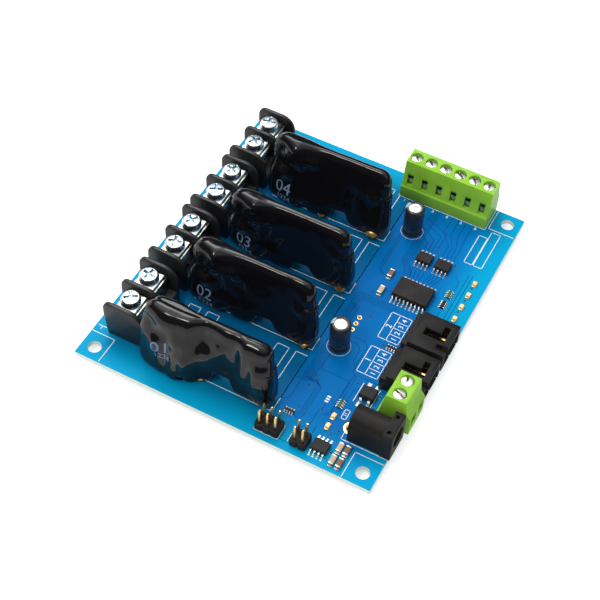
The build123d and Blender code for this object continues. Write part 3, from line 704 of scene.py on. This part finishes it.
def chunk(name, size, rounding=0.06, segments=2, shift=(0.0, 0.0, 0.0)):
    # a small block with rounded edges, standing on zero
    work = bmesh.new()
    bmesh.ops.create_cube(work, size=1.0)
    for corner in work.verts:
        for axis in range(3):
            corner.co[axis] = (corner.co[axis] * size[axis] + shift[axis]) * mm
        corner.co.z += size[2] / 2 * mm
    width = rounding * mm
    bmesh.ops.bevel(work, geom=work.edges[:], offset=width, segments=segments, affect="EDGES", profile=0.5)
    mesh = bpy.data.meshes.new(name)
    work.to_mesh(mesh)
    work.free()
    smoothed(mesh)
    return linked(name, mesh)


def pack(name, pieces):
    # several loose meshes in one, with the first one's materials
    work = bmesh.new()
    for piece in pieces:
        work.from_mesh(piece.data)
    mesh = bpy.data.meshes.new(name)
    work.to_mesh(mesh)
    work.free()
    for material in pieces[0].data.materials:
        mesh.materials.append(material)
    for piece in pieces:
        bpy.data.objects.remove(piece)
    return linked(name, mesh)


for number in range(1, channels["count"] + 1):
    softened(f"barrier_housing_{number}", f"barrierBlock{number}", "barrier_plastic", 0.28)

screwForm = {
    "radius": 3.05, "rise": 2.35, "foot": 0.0, "edge": 0.95, "slot": 0.0, "sink": 0.0,
    "cross": 0.48, "reach": 2.1, "depth": 1.3, "rings": 30, "sides": 96,
}
# how a head is domed, and how wide the sides of its slot and cross slope
headForm = {"dome": 0.10, "edgeFrom": 0.8, "slotSlope": 0.1, "crossSlope": 0.12, "endSlope": 0.5}
barrierForm = {
    "screwX": 10.1, "seat": 12.0, "turns": (35, 80, 15, 55, 25, 70, 50, 10), "firstWay": 5.6, "wayPitch": 9.9,
}


def screwHead(name, form):
    # a domed head as rings of heights, with a slot right across and a short tapered cross
    points = []
    for ring in range(form["rings"]):
        share = ring / (form["rings"] - 1)
        edge = max(0.0, (share - headForm["edgeFrom"]) / (1 - headForm["edgeFrom"]))
        dome = form["rise"] - headForm["dome"] * form["radius"] * share ** 2 - form["edge"] * edge ** 2
        for k in range(form["sides"]):
            point = ringPoint(form["radius"] * share ** 0.9, dome, k, form["sides"])
            x, y = abs(point.x) / mm, abs(point.y) / mm
            slot = min(1.0, max(0.0, (form["slot"] - y) / headForm["slotSlope"])) * form["sink"]
            arms = []
            for across, down in ((x, y), (y, x)):
                side = (form["cross"] - across) / headForm["crossSlope"]
                arms.append(min(side, (form["reach"] - down) / headForm["endSlope"]))
            point.z -= max(slot, min(1.0, max(0.0, *arms)) * form["depth"]) * mm
            points.append(point)
    points += [ringPoint(form["radius"], form["foot"], k, form["sides"]) for k in range(form["sides"])]
    piece = ringPiece(name, points, form["sides"])
    piece.data.set_sharp_from_angle(angle=math.radians(32))
    return piece


def screws(title, form, places, turns, level, material, node):
    # turned screw heads in the places of a node's screws
    head = screwHead(title + "Base", form)
    spots = [(*place, level, math.radians(turn)) for place, turn in zip(places, turns)]
    copies(title, head, spots, material, "zinc_plate", node)


ways = []
for number in range(channels["count"]):
    first = channels["front"] + channels["pitch"] * number + barrierForm["firstWay"]
    ways += [(barrierForm["screwX"], first + barrierForm["wayPitch"] * way) for way in range(2)]
turns, level = barrierForm["turns"], barrierForm["seat"]
screws("barrierScrewHeads", screwForm, ways, turns, level, zincPlate, "barrier_screws")

# bent contacts under the screws: a strip, a leg down the step and a blade through the board
bends = [
    ((5.9, 7.6, 0.8), (0.35, 0, 10.4)), ((0.8, 7.6, 6.2), (3.7, 0, 5.0)), ((0.8, 1.2, 8.6), (3.7, 0, -3.4)),
]
strip = [chunk(f"bend{k}", size, 0.14, 2, shift) for k, (size, shift) in enumerate(bends)]
strip = pack("contactBase", strip)
replaced = [f"barrier_contacts_{number}" for number in range(1, channels["count"] + 1)]
copies("barrierContacts", strip, ways, contactPlate, "tinned_metal", *replaced)
softened("barrier_clamp_plates", "clampSquares", "zinc_plate", 0.16)
print("barrier blocks and screws are made")

softForms = {
    ("terminal_plastic", 0.18): {
        "output_block_1_housing": "outputBlock1", "output_block_2_housing": "outputBlock2",
        "power_block_housing": "powerBlock",
    },
    ("connector_plastic", 0.16): {
        "jack_housing": "jackBody", "bus_header_in_housing": "busHeaderIn",
        "bus_header_out_housing": "busHeaderOut",
    },
    ("connector_plastic", 0.12): {"address_header_base": "addressBase", "pullup_header_base": "pullupBase"},
}
for (slot, rounding), housings in softForms.items():
    for node, name in housings.items():
        softened(node, name, slot, rounding)
print("the mouldings are softened")

terminalForm = {
    "radius": 1.92, "rise": 0.35, "foot": -4.0, "edge": 0.12, "slot": 0.34, "sink": 1.3,
    "cross": 0.3, "reach": 0.0, "depth": 0.0, "rings": 18, "sides": 72,
}
wellForm = {
    "outputY": 109.85, "powerX": 92.65, "seat": 13.2, "turns": (-62, -60, -58, -38, -60, -80, 100, 155),
}
wells = [(x, wellForm["outputY"]) for x in outputWays]
wells += [(wellForm["powerX"], y) for y in reversed(powerWays)]
turns, level = wellForm["turns"], wellForm["seat"]
screws("terminalScrews", terminalForm, wells, turns, level, slotSteel, "terminal_block_screws")
print("terminal screws are made")


def plates(title, rects, material, slot, taper):
    # low blocks on the board from (x0, x1, y0, y1, bottom, top), drawn in at the top by a taper
    sides = ((3, 2, 1, 0), (4, 5, 6, 7), (0, 1, 5, 4), (1, 2, 6, 5), (2, 3, 7, 6), (3, 0, 4, 7))
    points, faces = [], []
    for x0, x1, y0, y1, low, high in rects:
        faces += [tuple(len(points) + k for k in side) for side in sides]
        for level, inset in ((low, 0.0), (high, taper)):
            points += [at(x0 + inset, y0 + inset, level), at(x1 - inset, y0 + inset, level)]
            points += [at(x1 - inset, y1 - inset, level), at(x0 + inset, y1 - inset, level)]
    seat(meshPiece(title, points, faces, material), slot)


def box(x0, y0, x1, y1):
    return [(x0, y0), (x1, y0), (x1, y1), (x0, y1), (x0, y0)]


def arc(cx, cy, radius, start, end, steps):
    angles = [start + k * (end - start) / steps for k in range(steps + 1)]
    return [(cx + radius * math.cos(angle), cy + radius * math.sin(angle)) for angle in angles]


# the white print: outlines, label boxes and short marks, no words
printForm = {"width": 0.22, "high": 0.03, "sink": -0.01}
boardLines = [
    [(87.5, 0.4), (87.5, 9.36), (96.2, 9.36)], [(96.0, 105.6), (87.46, 105.6), (87.46, 114.0)],
    [(8.1, 0.6), (8.1, 9.3), (0.3, 9.3)], [(8.1, 113.7), (8.1, 105.1), (0.3, 105.1)],
    [(0.9, 12.0), (3.4, 12.0)], [(2.15, 12.0), (2.15, 10.9)], [(45.3, 12.9), (46.3, 12.9)],
    [(45.8, 12.4), (45.8, 13.4)], [(66.3, 2.3), (66.3, 7.4), (58.7, 7.4), (58.7, 2.3), (66.3, 2.3)],
    [(69.1, 3.2), (69.1, 6.1)], [(81.9, 13.7), (81.9, 11.3), (96.2, 11.3)], [(79.2, 24.6), (79.2, 31.6)],
    [(84.6, 24.6), (84.6, 31.6)], [(86.6, 104.4), (86.6, 114.0)], [(56.2, 104.4), (56.2, 114.0)],
    [(56.2, 104.4), (86.6, 104.4)],
]
# round each relay: a line before its feet, one at its right, and a hook beside each lead
for bottom, top in ((9.96, 32.2), (34.85, 56.85), (59.46, 81.3), (83.9, 105.9)):
    boardLines += [[(20.4, bottom), (60.55, bottom)], [(60.5, bottom), (60.5, top)]]
    for x0, x1 in ((20.4, 24.15), (26.6, 30.5), (50.4, 54.3), (56.65, 60.5)):
        boardLines.append([(x0, top - 17.0), (x0, top), (x1, top), (x1, top - 17.0)])
boardLines += [box(x0, 11.2, x1, 12.8) for x0, x1 in ((47.2, 51.2), (52.25, 56.0))]
# the tables beside the bus headers: left and right edge, the line between the columns, the rows' tops
tableForm = {
    "edges": (75.2, 77.96, 81.9),
    "tables": ((34.7, (37.3, 39.9, 42.5, 45.1)), (48.96, (51.6, 54.2, 56.75, 59.5))),
}
left, middle, right = tableForm["edges"]
for start, rows in tableForm["tables"]:
    boardLines += [[(x, start), (x, rows[-1])] for x in (left, middle, right)]
    boardLines += [[(left, y), (right, y)] for y in (start, rows[-1])]
    boardLines += [[(middle, row), (right, row)] for row in rows[:-1]]
boardLines += [box(86.1, 88.8, 88.9, 101.4), box(89.15, 88.8, 92.1, 104.5), box(78.7, 17.6, 80.2, 20.9)]
boardLines += [arc(cx, cy, 3.57, 0.0, 2 * math.pi, 48) for cx, cy in canPlaces]
boardLines += [arc(85.4, cy, 0.6, -1.2, 1.2, 8) for cy in (29.5, 24.8)]
seat(bands("boardPrint", boardLines, printForm, whiteInk), "board_coat")


def figure(title, text, size, place, turn=0.0, material=whiteInk, thick=0.03):
    # a plain numeral as a thin flat mesh on the board
    curve = bpy.data.curves.new(title + "Curve", "FONT")
    curve.body = text
    curve.size = size * mm
    curve.align_x = curve.align_y = "CENTER"
    curve.extrude = thick * mm / 2
    maker = linked(title + "Maker", curve)
    mesh = evaluated(maker)
    bpy.data.objects.remove(maker)
    mesh.transform(Matrix.Translation(at(*place)) @ Matrix.Rotation(turn, 4, "Z"))
    mesh.materials.clear()
    mesh.materials.append(material)
    return linked(title, mesh)


def draped(title, text, size, along, up, number):
    # pale numerals laid on a relay's front: each point is dropped straight back onto it
    piece = figure(title, text, size, (0, 0, -boardTop), 0.0, paleMark, 0.0)
    work = bmesh.new()
    work.from_mesh(piece.data)
    for _ in range(2):
        bmesh.ops.subdivide_edges(work, edges=work.edges[:], cuts=1, use_grid_fill=True)
    corner, front = at(0, 0), at(0, relayRow(number) - markForm["before"]).y
    for point in work.verts:
        x = (relayForm["left"] + along) * mm + point.co.x
        start = Vector((x, front, (boardTop + up) * mm + point.co.y - corner.y))
        hit, spot, normal, _ = relayPieces[number].ray_cast(start, Vector((0, 1, 0)))
        missed = start + Vector((0, markForm["missed"] * mm, 0))
        point.co = spot + normal * markForm["lift"] * mm if hit else missed
    work.to_mesh(piece.data)
    work.free()
    smoothed(piece.data)
    return piece


quarter = math.pi / 2
numberLift = 0.015
numerals = []
for number, (start, _) in enumerate(tableForm["tables"], 1):
    place = (76.6, start + 5.2, numberLift)
    numerals.append(figure(f"plugNumber{number}", str(number), 2.6, place, quarter))
    for row in range(4):
        place = (80.0, start + 1.3 + row * 2.6, numberLift)
        numerals.append(figure(f"cellNumber{number}{row}", str(row + 1), 2.3, place, quarter))
for way, x in enumerate(outputWays, 1):
    numerals.append(figure(f"wayNumber{way}", str(way), 1.7, (x, 103.3, numberLift)))
numerals.append(figure("jackNumber", "11", 1.4, (79.45, 19.25, numberLift), quarter))
seat(pack("boardNumbers", numerals), "board_coat")
# a channel number and a plain count on each relay: place of both along and up, sizes
markForm = {
    "first": (8.2, 7.2), "usual": (6.8, 2.0), "numberSize": 5.8, "numberUp": 4.8, "countSize": 2.6,
    "countAlong": 0.6, "countUp": 1.4, "before": 15.0, "missed": 12.0, "lift": 0.04,
}
marks = []
for number in range(channels["count"]):
    along, up = markForm["first" if number == 0 else "usual"]
    text, size = f"0{number + 1}", markForm["numberSize"]
    marks.append(draped(f"relayMark{number}", text, size, along, up + markForm["numberUp"], number))
    along, up, size = along + markForm["countAlong"], up + markForm["countUp"], markForm["countSize"]
    marks.append(draped(f"relayCount{number}", "1234", size, along, up, number))
seat(pack("relayMarks", marks), "relay_coating")
print("the white print is on the board")

# copper tracks, seen as shaded lines through the coat
trackForm = {"width": 0.17, "high": 0.008, "sink": -0.004}


def beside(line, count, step):
    # parallel tracks at even distances along X and Y
    return [[(x + step[0] * k, y + step[1] * k) for x, y in line] for k in range(count)]


trackLines = beside([(62.6, 57.0), (62.6, 25.4), (61.2, 24.0)], 5, (0.72, 0.0))
trackLines += [
    [(65.9, 36.2), (65.9, 30.6), (66.4, 30.1), (74.8, 30.1), (75.3, 29.6), (75.3, 18.0)],
    [(69.5, 45.4), (72.8, 45.3), (74.4, 43.7), (74.4, 34.0), (76.2, 32.4)],
    [(69.0, 43.4), (71.4, 43.4), (72.8, 41.9), (73.0, 37.2), (76.8, 33.1), (83.6, 33.0)],
    [(77.7, 18.5), (77.7, 27.9), (78.4, 28.6)], [(60.5, 15.0), (62.7, 17.0), (62.7, 24.0)],
    [(72.7, 17.6), (72.7, 20.2)], [(66.5, 2.9), (70.0, 2.9)],
    [(85.0, 71.2), (79.5, 71.2)], [(89.8, 84.5), (89.8, 62.4)], [(91.0, 84.5), (91.0, 60.4), (88.9, 58.2)],
    [(82.4, 12.8), (80.6, 14.8), (80.6, 17.4)], [(83.2, 62.0), (86.4, 62.0), (87.6, 63.2), (87.6, 66.8)],
    [(88.2, 76.4), (88.2, 80.0), (86.4, 82.0)], [(70.2, 9.2), (72.0, 11.2), (72.0, 17.2)],
    [(74.0, 9.2), (74.0, 11.4)],
]
trackLines += beside([(75.5, 33.0), (75.5, 18.2), (73.8, 16.2)], 2, (0.8, 0.0))
bus = [(67.3, 11.5), (68.2, 11.5), (69.1, 13.4), (69.1, 24.0), (68.0, 25.1), (65.0, 25.1)]
trackLines += beside(bus, 3, (-0.7, 0.35))
trackLines += beside([(68.9, 104.2), (68.9, 79.8), (71.4, 76.6), (71.4, 74.6)], 4, (0.75, 0.0))
trackLines += beside([(63.9, 103.0), (63.9, 73.4), (65.9, 71.2)], 2, (0.8, 0.0))
trackLines += beside([(75.0, 62.8), (74.0, 61.8), (63.5, 61.8), (62.5, 60.8), (62.5, 57.0)], 4, (0.6, -0.75))
for k in range(4):
    x0, x1 = 73.1 + 1.27 * k, 79.4 + 1.27 * k
    trackLines += [
        [(x0, 79.3), (73.4 + 1.27 * k, 76.6), (74.0 + 1.0 * k, 74.2)],
        [(x1, 79.3), (78.8 + 1.0 * k, 76.2), (78.3 + 0.95 * k, 74.2)],
        [(x0, 86.9), (x0, 90.0 + 2.2 * k), (60.6 + 1.8 * k, 100.5)],
        [(x1, 86.9), (x1, 92.0), (75.6 + 2.4 * k, 97.0), (75.6 + 2.4 * k, 104.0)],
    ]
for row in range(channels["count"]):
    y = 15.0 + channels["pitch"] * row
    trackLines += [[(x, y), (x, y + 17.0)] for x in (21.0, 24.5, 28.0)]
seat(bands("boardTracks", trackLines, trackForm, trackShade), "board_coat")
print("the tracks are drawn")

viaSpots = [
    (65.6, 27.4), (67.0, 26.1), (65.6, 23.5), (66.5, 15.3), (77.6, 30.75), (78.3, 46.9), (70.0, 56.6),
    (70.0, 54.6), (80.2, 13.1), (78.8, 11.3), (81.6, 5.9), (72.6, 17.6), (74.4, 89.0), (76.9, 88.8),
    (80.7, 87.65), (84.5, 85.7), (66.3, 63.7), (71.2, 66.4), (92.7, 69.5), (92.65, 79.9), (92.65, 74.5),
]
viaOutline = [(0.0, 0.006), (0.19, 0.006), (0.2, 0.03), (0.36, 0.03), (0.42, 0.0), (0.0, 0.0)]
# a thin black disc that stands for the painted shade inside a via's hole
viaShadeOutline = [(0.0, 0.012), (0.17, 0.012), (0.17, 0.0), (0.0, 0.0)]
ringOutline = [
    (0.46, -1.55), (0.46, 0.02), (0.5, 0.05), (0.8, 0.05), (0.86, 0.0), (0.5, -0.02), (0.47, -1.6),
    (0.46, -1.55),
]
jackPadOutline = [(0.6, 0.0), (0.6, 0.05), (2.2, 0.05), (2.3, 0.0)]

bored = [(x, y, 0.0, 0.0, 0.85) for x, y in viaSpots]
copies("boardVias", turned("viaBase", viaOutline, 20), bored, tentedCopper, "tinned_metal")
# painted shade: black discs at the vias' centres in place of their dark holes
copies("viaHearts", turned("plugBase", viaShadeOutline, 14), viaSpots, blackMoulding, "connector_plastic")
holes = [(67.43, y) for y in (47.65, 50.19, 52.73)]
copies("platedHoles", turned("ringBase", ringOutline), holes, goldPlate, "gold_plate")
copies("jackPad", turned("jackPadBase", jackPadOutline, 48), [(82.9, 15.85)], goldPlate, "gold_plate")

# chips as centre, leads on a side and span across the leads
# a lead's pad and ramp as reach in, reach out, half width, bottom and top
chipForm = {
    "chips": [(77.95, 68.3, 9, 10.3), (75.0, 83.1, 4, 6.1), (81.3, 83.1, 4, 6.1), (78.25, 5.75, 4, 6.1)],
    "pitch": 1.27, "pad": (0.9, 0.75, 0.3, -0.02, 0.05), "ramp": (0.25, 0.42, 0.26, 0.0, 0.2),
}
padLevels = chipForm["pad"][3:]
padRects, rampRects = [], []
for cx, cy, count, span in chipForm["chips"]:
    for k in range(count):
        x = cx + (k - (count - 1) / 2) * chipForm["pitch"]
        for side in (-1, 1):
            edge = cy + side * span / 2
            for rects, kind in ((padRects, "pad"), (rampRects, "ramp")):
                inward, outward, half, *levels = chipForm[kind]
                reach = sorted((edge - side * inward, edge + side * outward))
                rects.append((x - half, x + half, *reach, *levels))
for x in (82.3 - 1.27, 82.3 + 1.27):
    for low, high in ((23.4, 25.4), (30.6, 32.6)):
        padRects.append((x - 0.6, x + 0.6, low, high, *padLevels))
for y in (20.6, 21.5, 22.4):
    padRects.append((72.0, 73.2, y - 0.3, y + 0.3, *padLevels))
plates("chipPads", padRects, solderMetal, "tinned_metal", 0.03)
plates("chipSolder", rampRects, solderMetal, "tinned_metal", 0.14)

# solder cones under the board, one for each lead that comes through
tailSpots = [(13.8, y, 1.5) for _, y in ways]
for row in range(channels["count"]):
    tailSpots += [(relayForm["left"] + place, relayRow(row), 1.15) for place in (5.2, 18.6, 32.0, 37.0)]
tailSpots += [(x, 107.0, 1.2) for x in outputWays]
tailSpots += [(89.8, y, 1.2) for y in powerWays]
tailSpots += [(83.6, 15.85, 1.9), (89.0, 15.85, 1.9), (91.6, 20.15, 1.9)]
for cx, cy, columns in ((62.5, 4.8, 3), (72.4, 4.8, 2)):
    for k in range(columns):
        x = cx + (k - (columns - 1) / 2) * pinPitch
        tailSpots += [(x, cy + side * pinPitch / 2, 0.85) for side in (-1, 1)]
tailSpots += [(84.35, centre + (way - 1.5) * pinPitch, 0.85) for centre in plugCentres for way in range(4)]
tailSpots += [(cx + side * 1.25, cy, 0.8) for cx, cy in canPlaces for side in (-1, 1)]
coneOutline = [
    (0.0, -0.95), (0.3, -0.92), (0.42, -0.75), (0.55, -0.52), (0.8, -0.24), (1.05, -0.05), (1.08, 0.0),
    (0.0, 0.0),
]
coneSpots = [(x, y, -boardTop, 0.0, size) for x, y, size in tailSpots]
copies("solderCones", turned("coneBase", coneOutline, 20), coneSpots, solderMetal, "tinned_metal")
print("pads, vias and solder are laid")


ceramicBrown = plasticFinish("ceramicBrown", (0.17, 0.095, 0.06), (0.25, 0.15, 0.10), 0.5, 3000.0)
ceramicBeige = plasticFinish("ceramicBeige", (0.42, 0.33, 0.22), (0.52, 0.42, 0.30), 0.5, 3000.0)
arrayGreen = plasticFinish("arrayGreen", (0.03, 0.10, 0.06), (0.05, 0.15, 0.09), 0.4, 3000.0)
lampBase = plasticFinish("lampBase", (0.60, 0.48, 0.30), (0.72, 0.60, 0.40), 0.4, 3000.0)
lampLens = plasticFinish("lampLens", (0.80, 0.56, 0.24), (0.88, 0.72, 0.42), 0.16, 900.0)
chipsBrown = [(68.4, 72.6), (85.4, 3.6), (85.4, 8.2)]
chipsBeige = [(68.6, 65.2), (83.2, 3.6), (83.2, 8.2)]
arraysGreen = [(87.6, 74.2), (76.6, 21.75)]
arraysDark = [(87.5, 69.6), (80.8, 46.9, 0.0, quarter), (64.8, 12.5, 0.0, quarter)]
lights = [(92.8, 66.4), (92.8, 71.6), (92.8, 76.8), (92.8, 81.9), (76.8, 13.1), (76.8, 17.0)]


def pairOf(title, size, rounding, segments, reach):
    # the same block at both ends of a part
    shifts = ((0, -reach, 0), (0, reach, 0))
    return pack(title, [chunk(title, size, rounding, segments, shift) for shift in shifts])


def footRow(title, size, reach):
    # four blocks down each long side of an array
    shifts = [(side * reach, (k - 1.5) * 0.8, 0) for side in (-1, 1) for k in range(4)]
    return [chunk(f"{title}{k}", size, 0.05, 1, shift) for k, shift in enumerate(shifts)]


chipSize, arraySize = (1.5, 2.3, 1.14), (1.2, 3.1, 0.52)
body = chunk("brownBase", chipSize)
copies("brownChips", body, chipsBrown, ceramicBrown, "small_ceramic", "chip_capacitors")
copies("beigeChips", chunk("beigeBase", chipSize), chipsBeige, ceramicBeige, "small_ceramic")
chips = chipsBrown + chipsBeige
ends = pairOf("chipEndBase", (1.6, 0.5, 1.2), 0.1, 2, 1.35)
copies("chipEnds", ends, chips, tinPlate, "tinned_metal")
ramps = pairOf("chipRampBase", (1.7, 0.9, 0.32), 0.15, 2, 1.75)
copies("chipRamps", ramps, chips, solderMetal, "tinned_metal")
body = chunk("greenArrayBase", arraySize)
copies("greenArrays", body, arraysGreen, arrayGreen, "small_ceramic", "resistor_arrays")
copies("darkArrays", chunk("darkArrayBase", arraySize), arraysDark, chipMoulding, "small_ceramic")
feet = footRow("foot", (0.36, 0.46, 0.55), 0.62) + footRow("toe", (0.4, 0.46, 0.14), 0.95)
copies("arrayFeet", pack("arrayFootBase", feet), arraysGreen + arraysDark, tinPlate, "tinned_metal")
body = chunk("lampBaseBlock", (1.4, 1.7, 0.4), 0.04)
copies("lampBases", body, lights, lampBase, "light_lens", "indicator_lights")
body = chunk("lampLensBlock", (1.28, 1.36, 0.5), 0.16, 3)
copies("lampLenses", body, [(x, y, 0.38) for x, y in lights], lampLens, "light_lens")
copies("lampEnds", pairOf("lampEndBase", (1.4, 0.5, 0.3), 0.06, 1, 1.05), lights, goldPlate, "gold_plate")
print("the small parts are set")


dashPitch = 3.2


def sleeveFinish(name, middle):
    # dark shrunk film with a pale stripe down the left side and short marks on it
    graph = finish(name, IOR=1.5)
    x, y, z = graph.axes()
    # the angle from the stripe's middle, round the can
    away = ((y - middle.y).maths("ARCTAN2", x - middle.x).size() - math.pi).size()
    band = away.ease(0.42, 0.46, 1.0, 0.0)
    dash = (z * (1 / (dashPitch * mm))).maths("FRACT")
    mark = dash.ease(0.30, 0.34) * dash.ease(0.66, 0.70, 1.0, 0.0) * away.ease(0.12, 0.15, 1.0, 0.0)
    film = graph.colours(graph.cloud(200.0), (0.010, 0.011, 0.014), (0.020, 0.021, 0.025))
    pale = graph.colours(mark, (0.30, 0.38, 0.44), (0.02, 0.02, 0.025))
    rough = graph.cloud(300.0).ease(0.3, 0.7, 0.24, 0.36)
    relief = graph.bump(graph.cloud(700.0, 2.0), 0.15, 0.00004)
    return graph.dress(Base_Color=graph.colours(band, film, pale), Roughness=rough, Normal=relief)


# radius and height in mm of the shrunk sleeve and of the can's lid inside it
sleeveOutline = [
    (2.9, 0.42), (3.1, 0.47), (3.15, 0.67), (3.15, 1.42), (2.95, 1.77), (2.95, 2.12), (3.15, 2.47),
    (3.15, 10.25), (3.05, 10.7), (2.77, 11.06), (2.4, 11.2), (2.17, 11.16), (2.09, 11.04), (2.17, 10.8),
    (2.75, 10.1), (2.85, 1.02), (2.9, 0.42),
]
lidOutline = [
    (0.0, 10.96), (0.9, 10.97), (1.0, 10.92), (1.1, 10.97), (2.15, 10.98), (2.55, 10.1), (2.8, 9.8),
    (2.8, 2.4), (0.0, 2.4),
]
canSides = 64
for number, place in enumerate(canPlaces, 1):
    skin = turned(f"capSleeveBase{number}", sleeveOutline, canSides)
    film = sleeveFinish(f"sleeveFilm{number}", at(*place))
    copies(f"capSleeve{number}", skin, [place], film, "sleeve_film", f"capacitor_{number}_sleeve")
    lid = turned(f"capCanBase{number}", lidOutline, canSides)
    copies(f"capCan{number}", lid, [place], canMetal, "can_metal", f"capacitor_{number}_can")
print("the capacitors are sleeved")
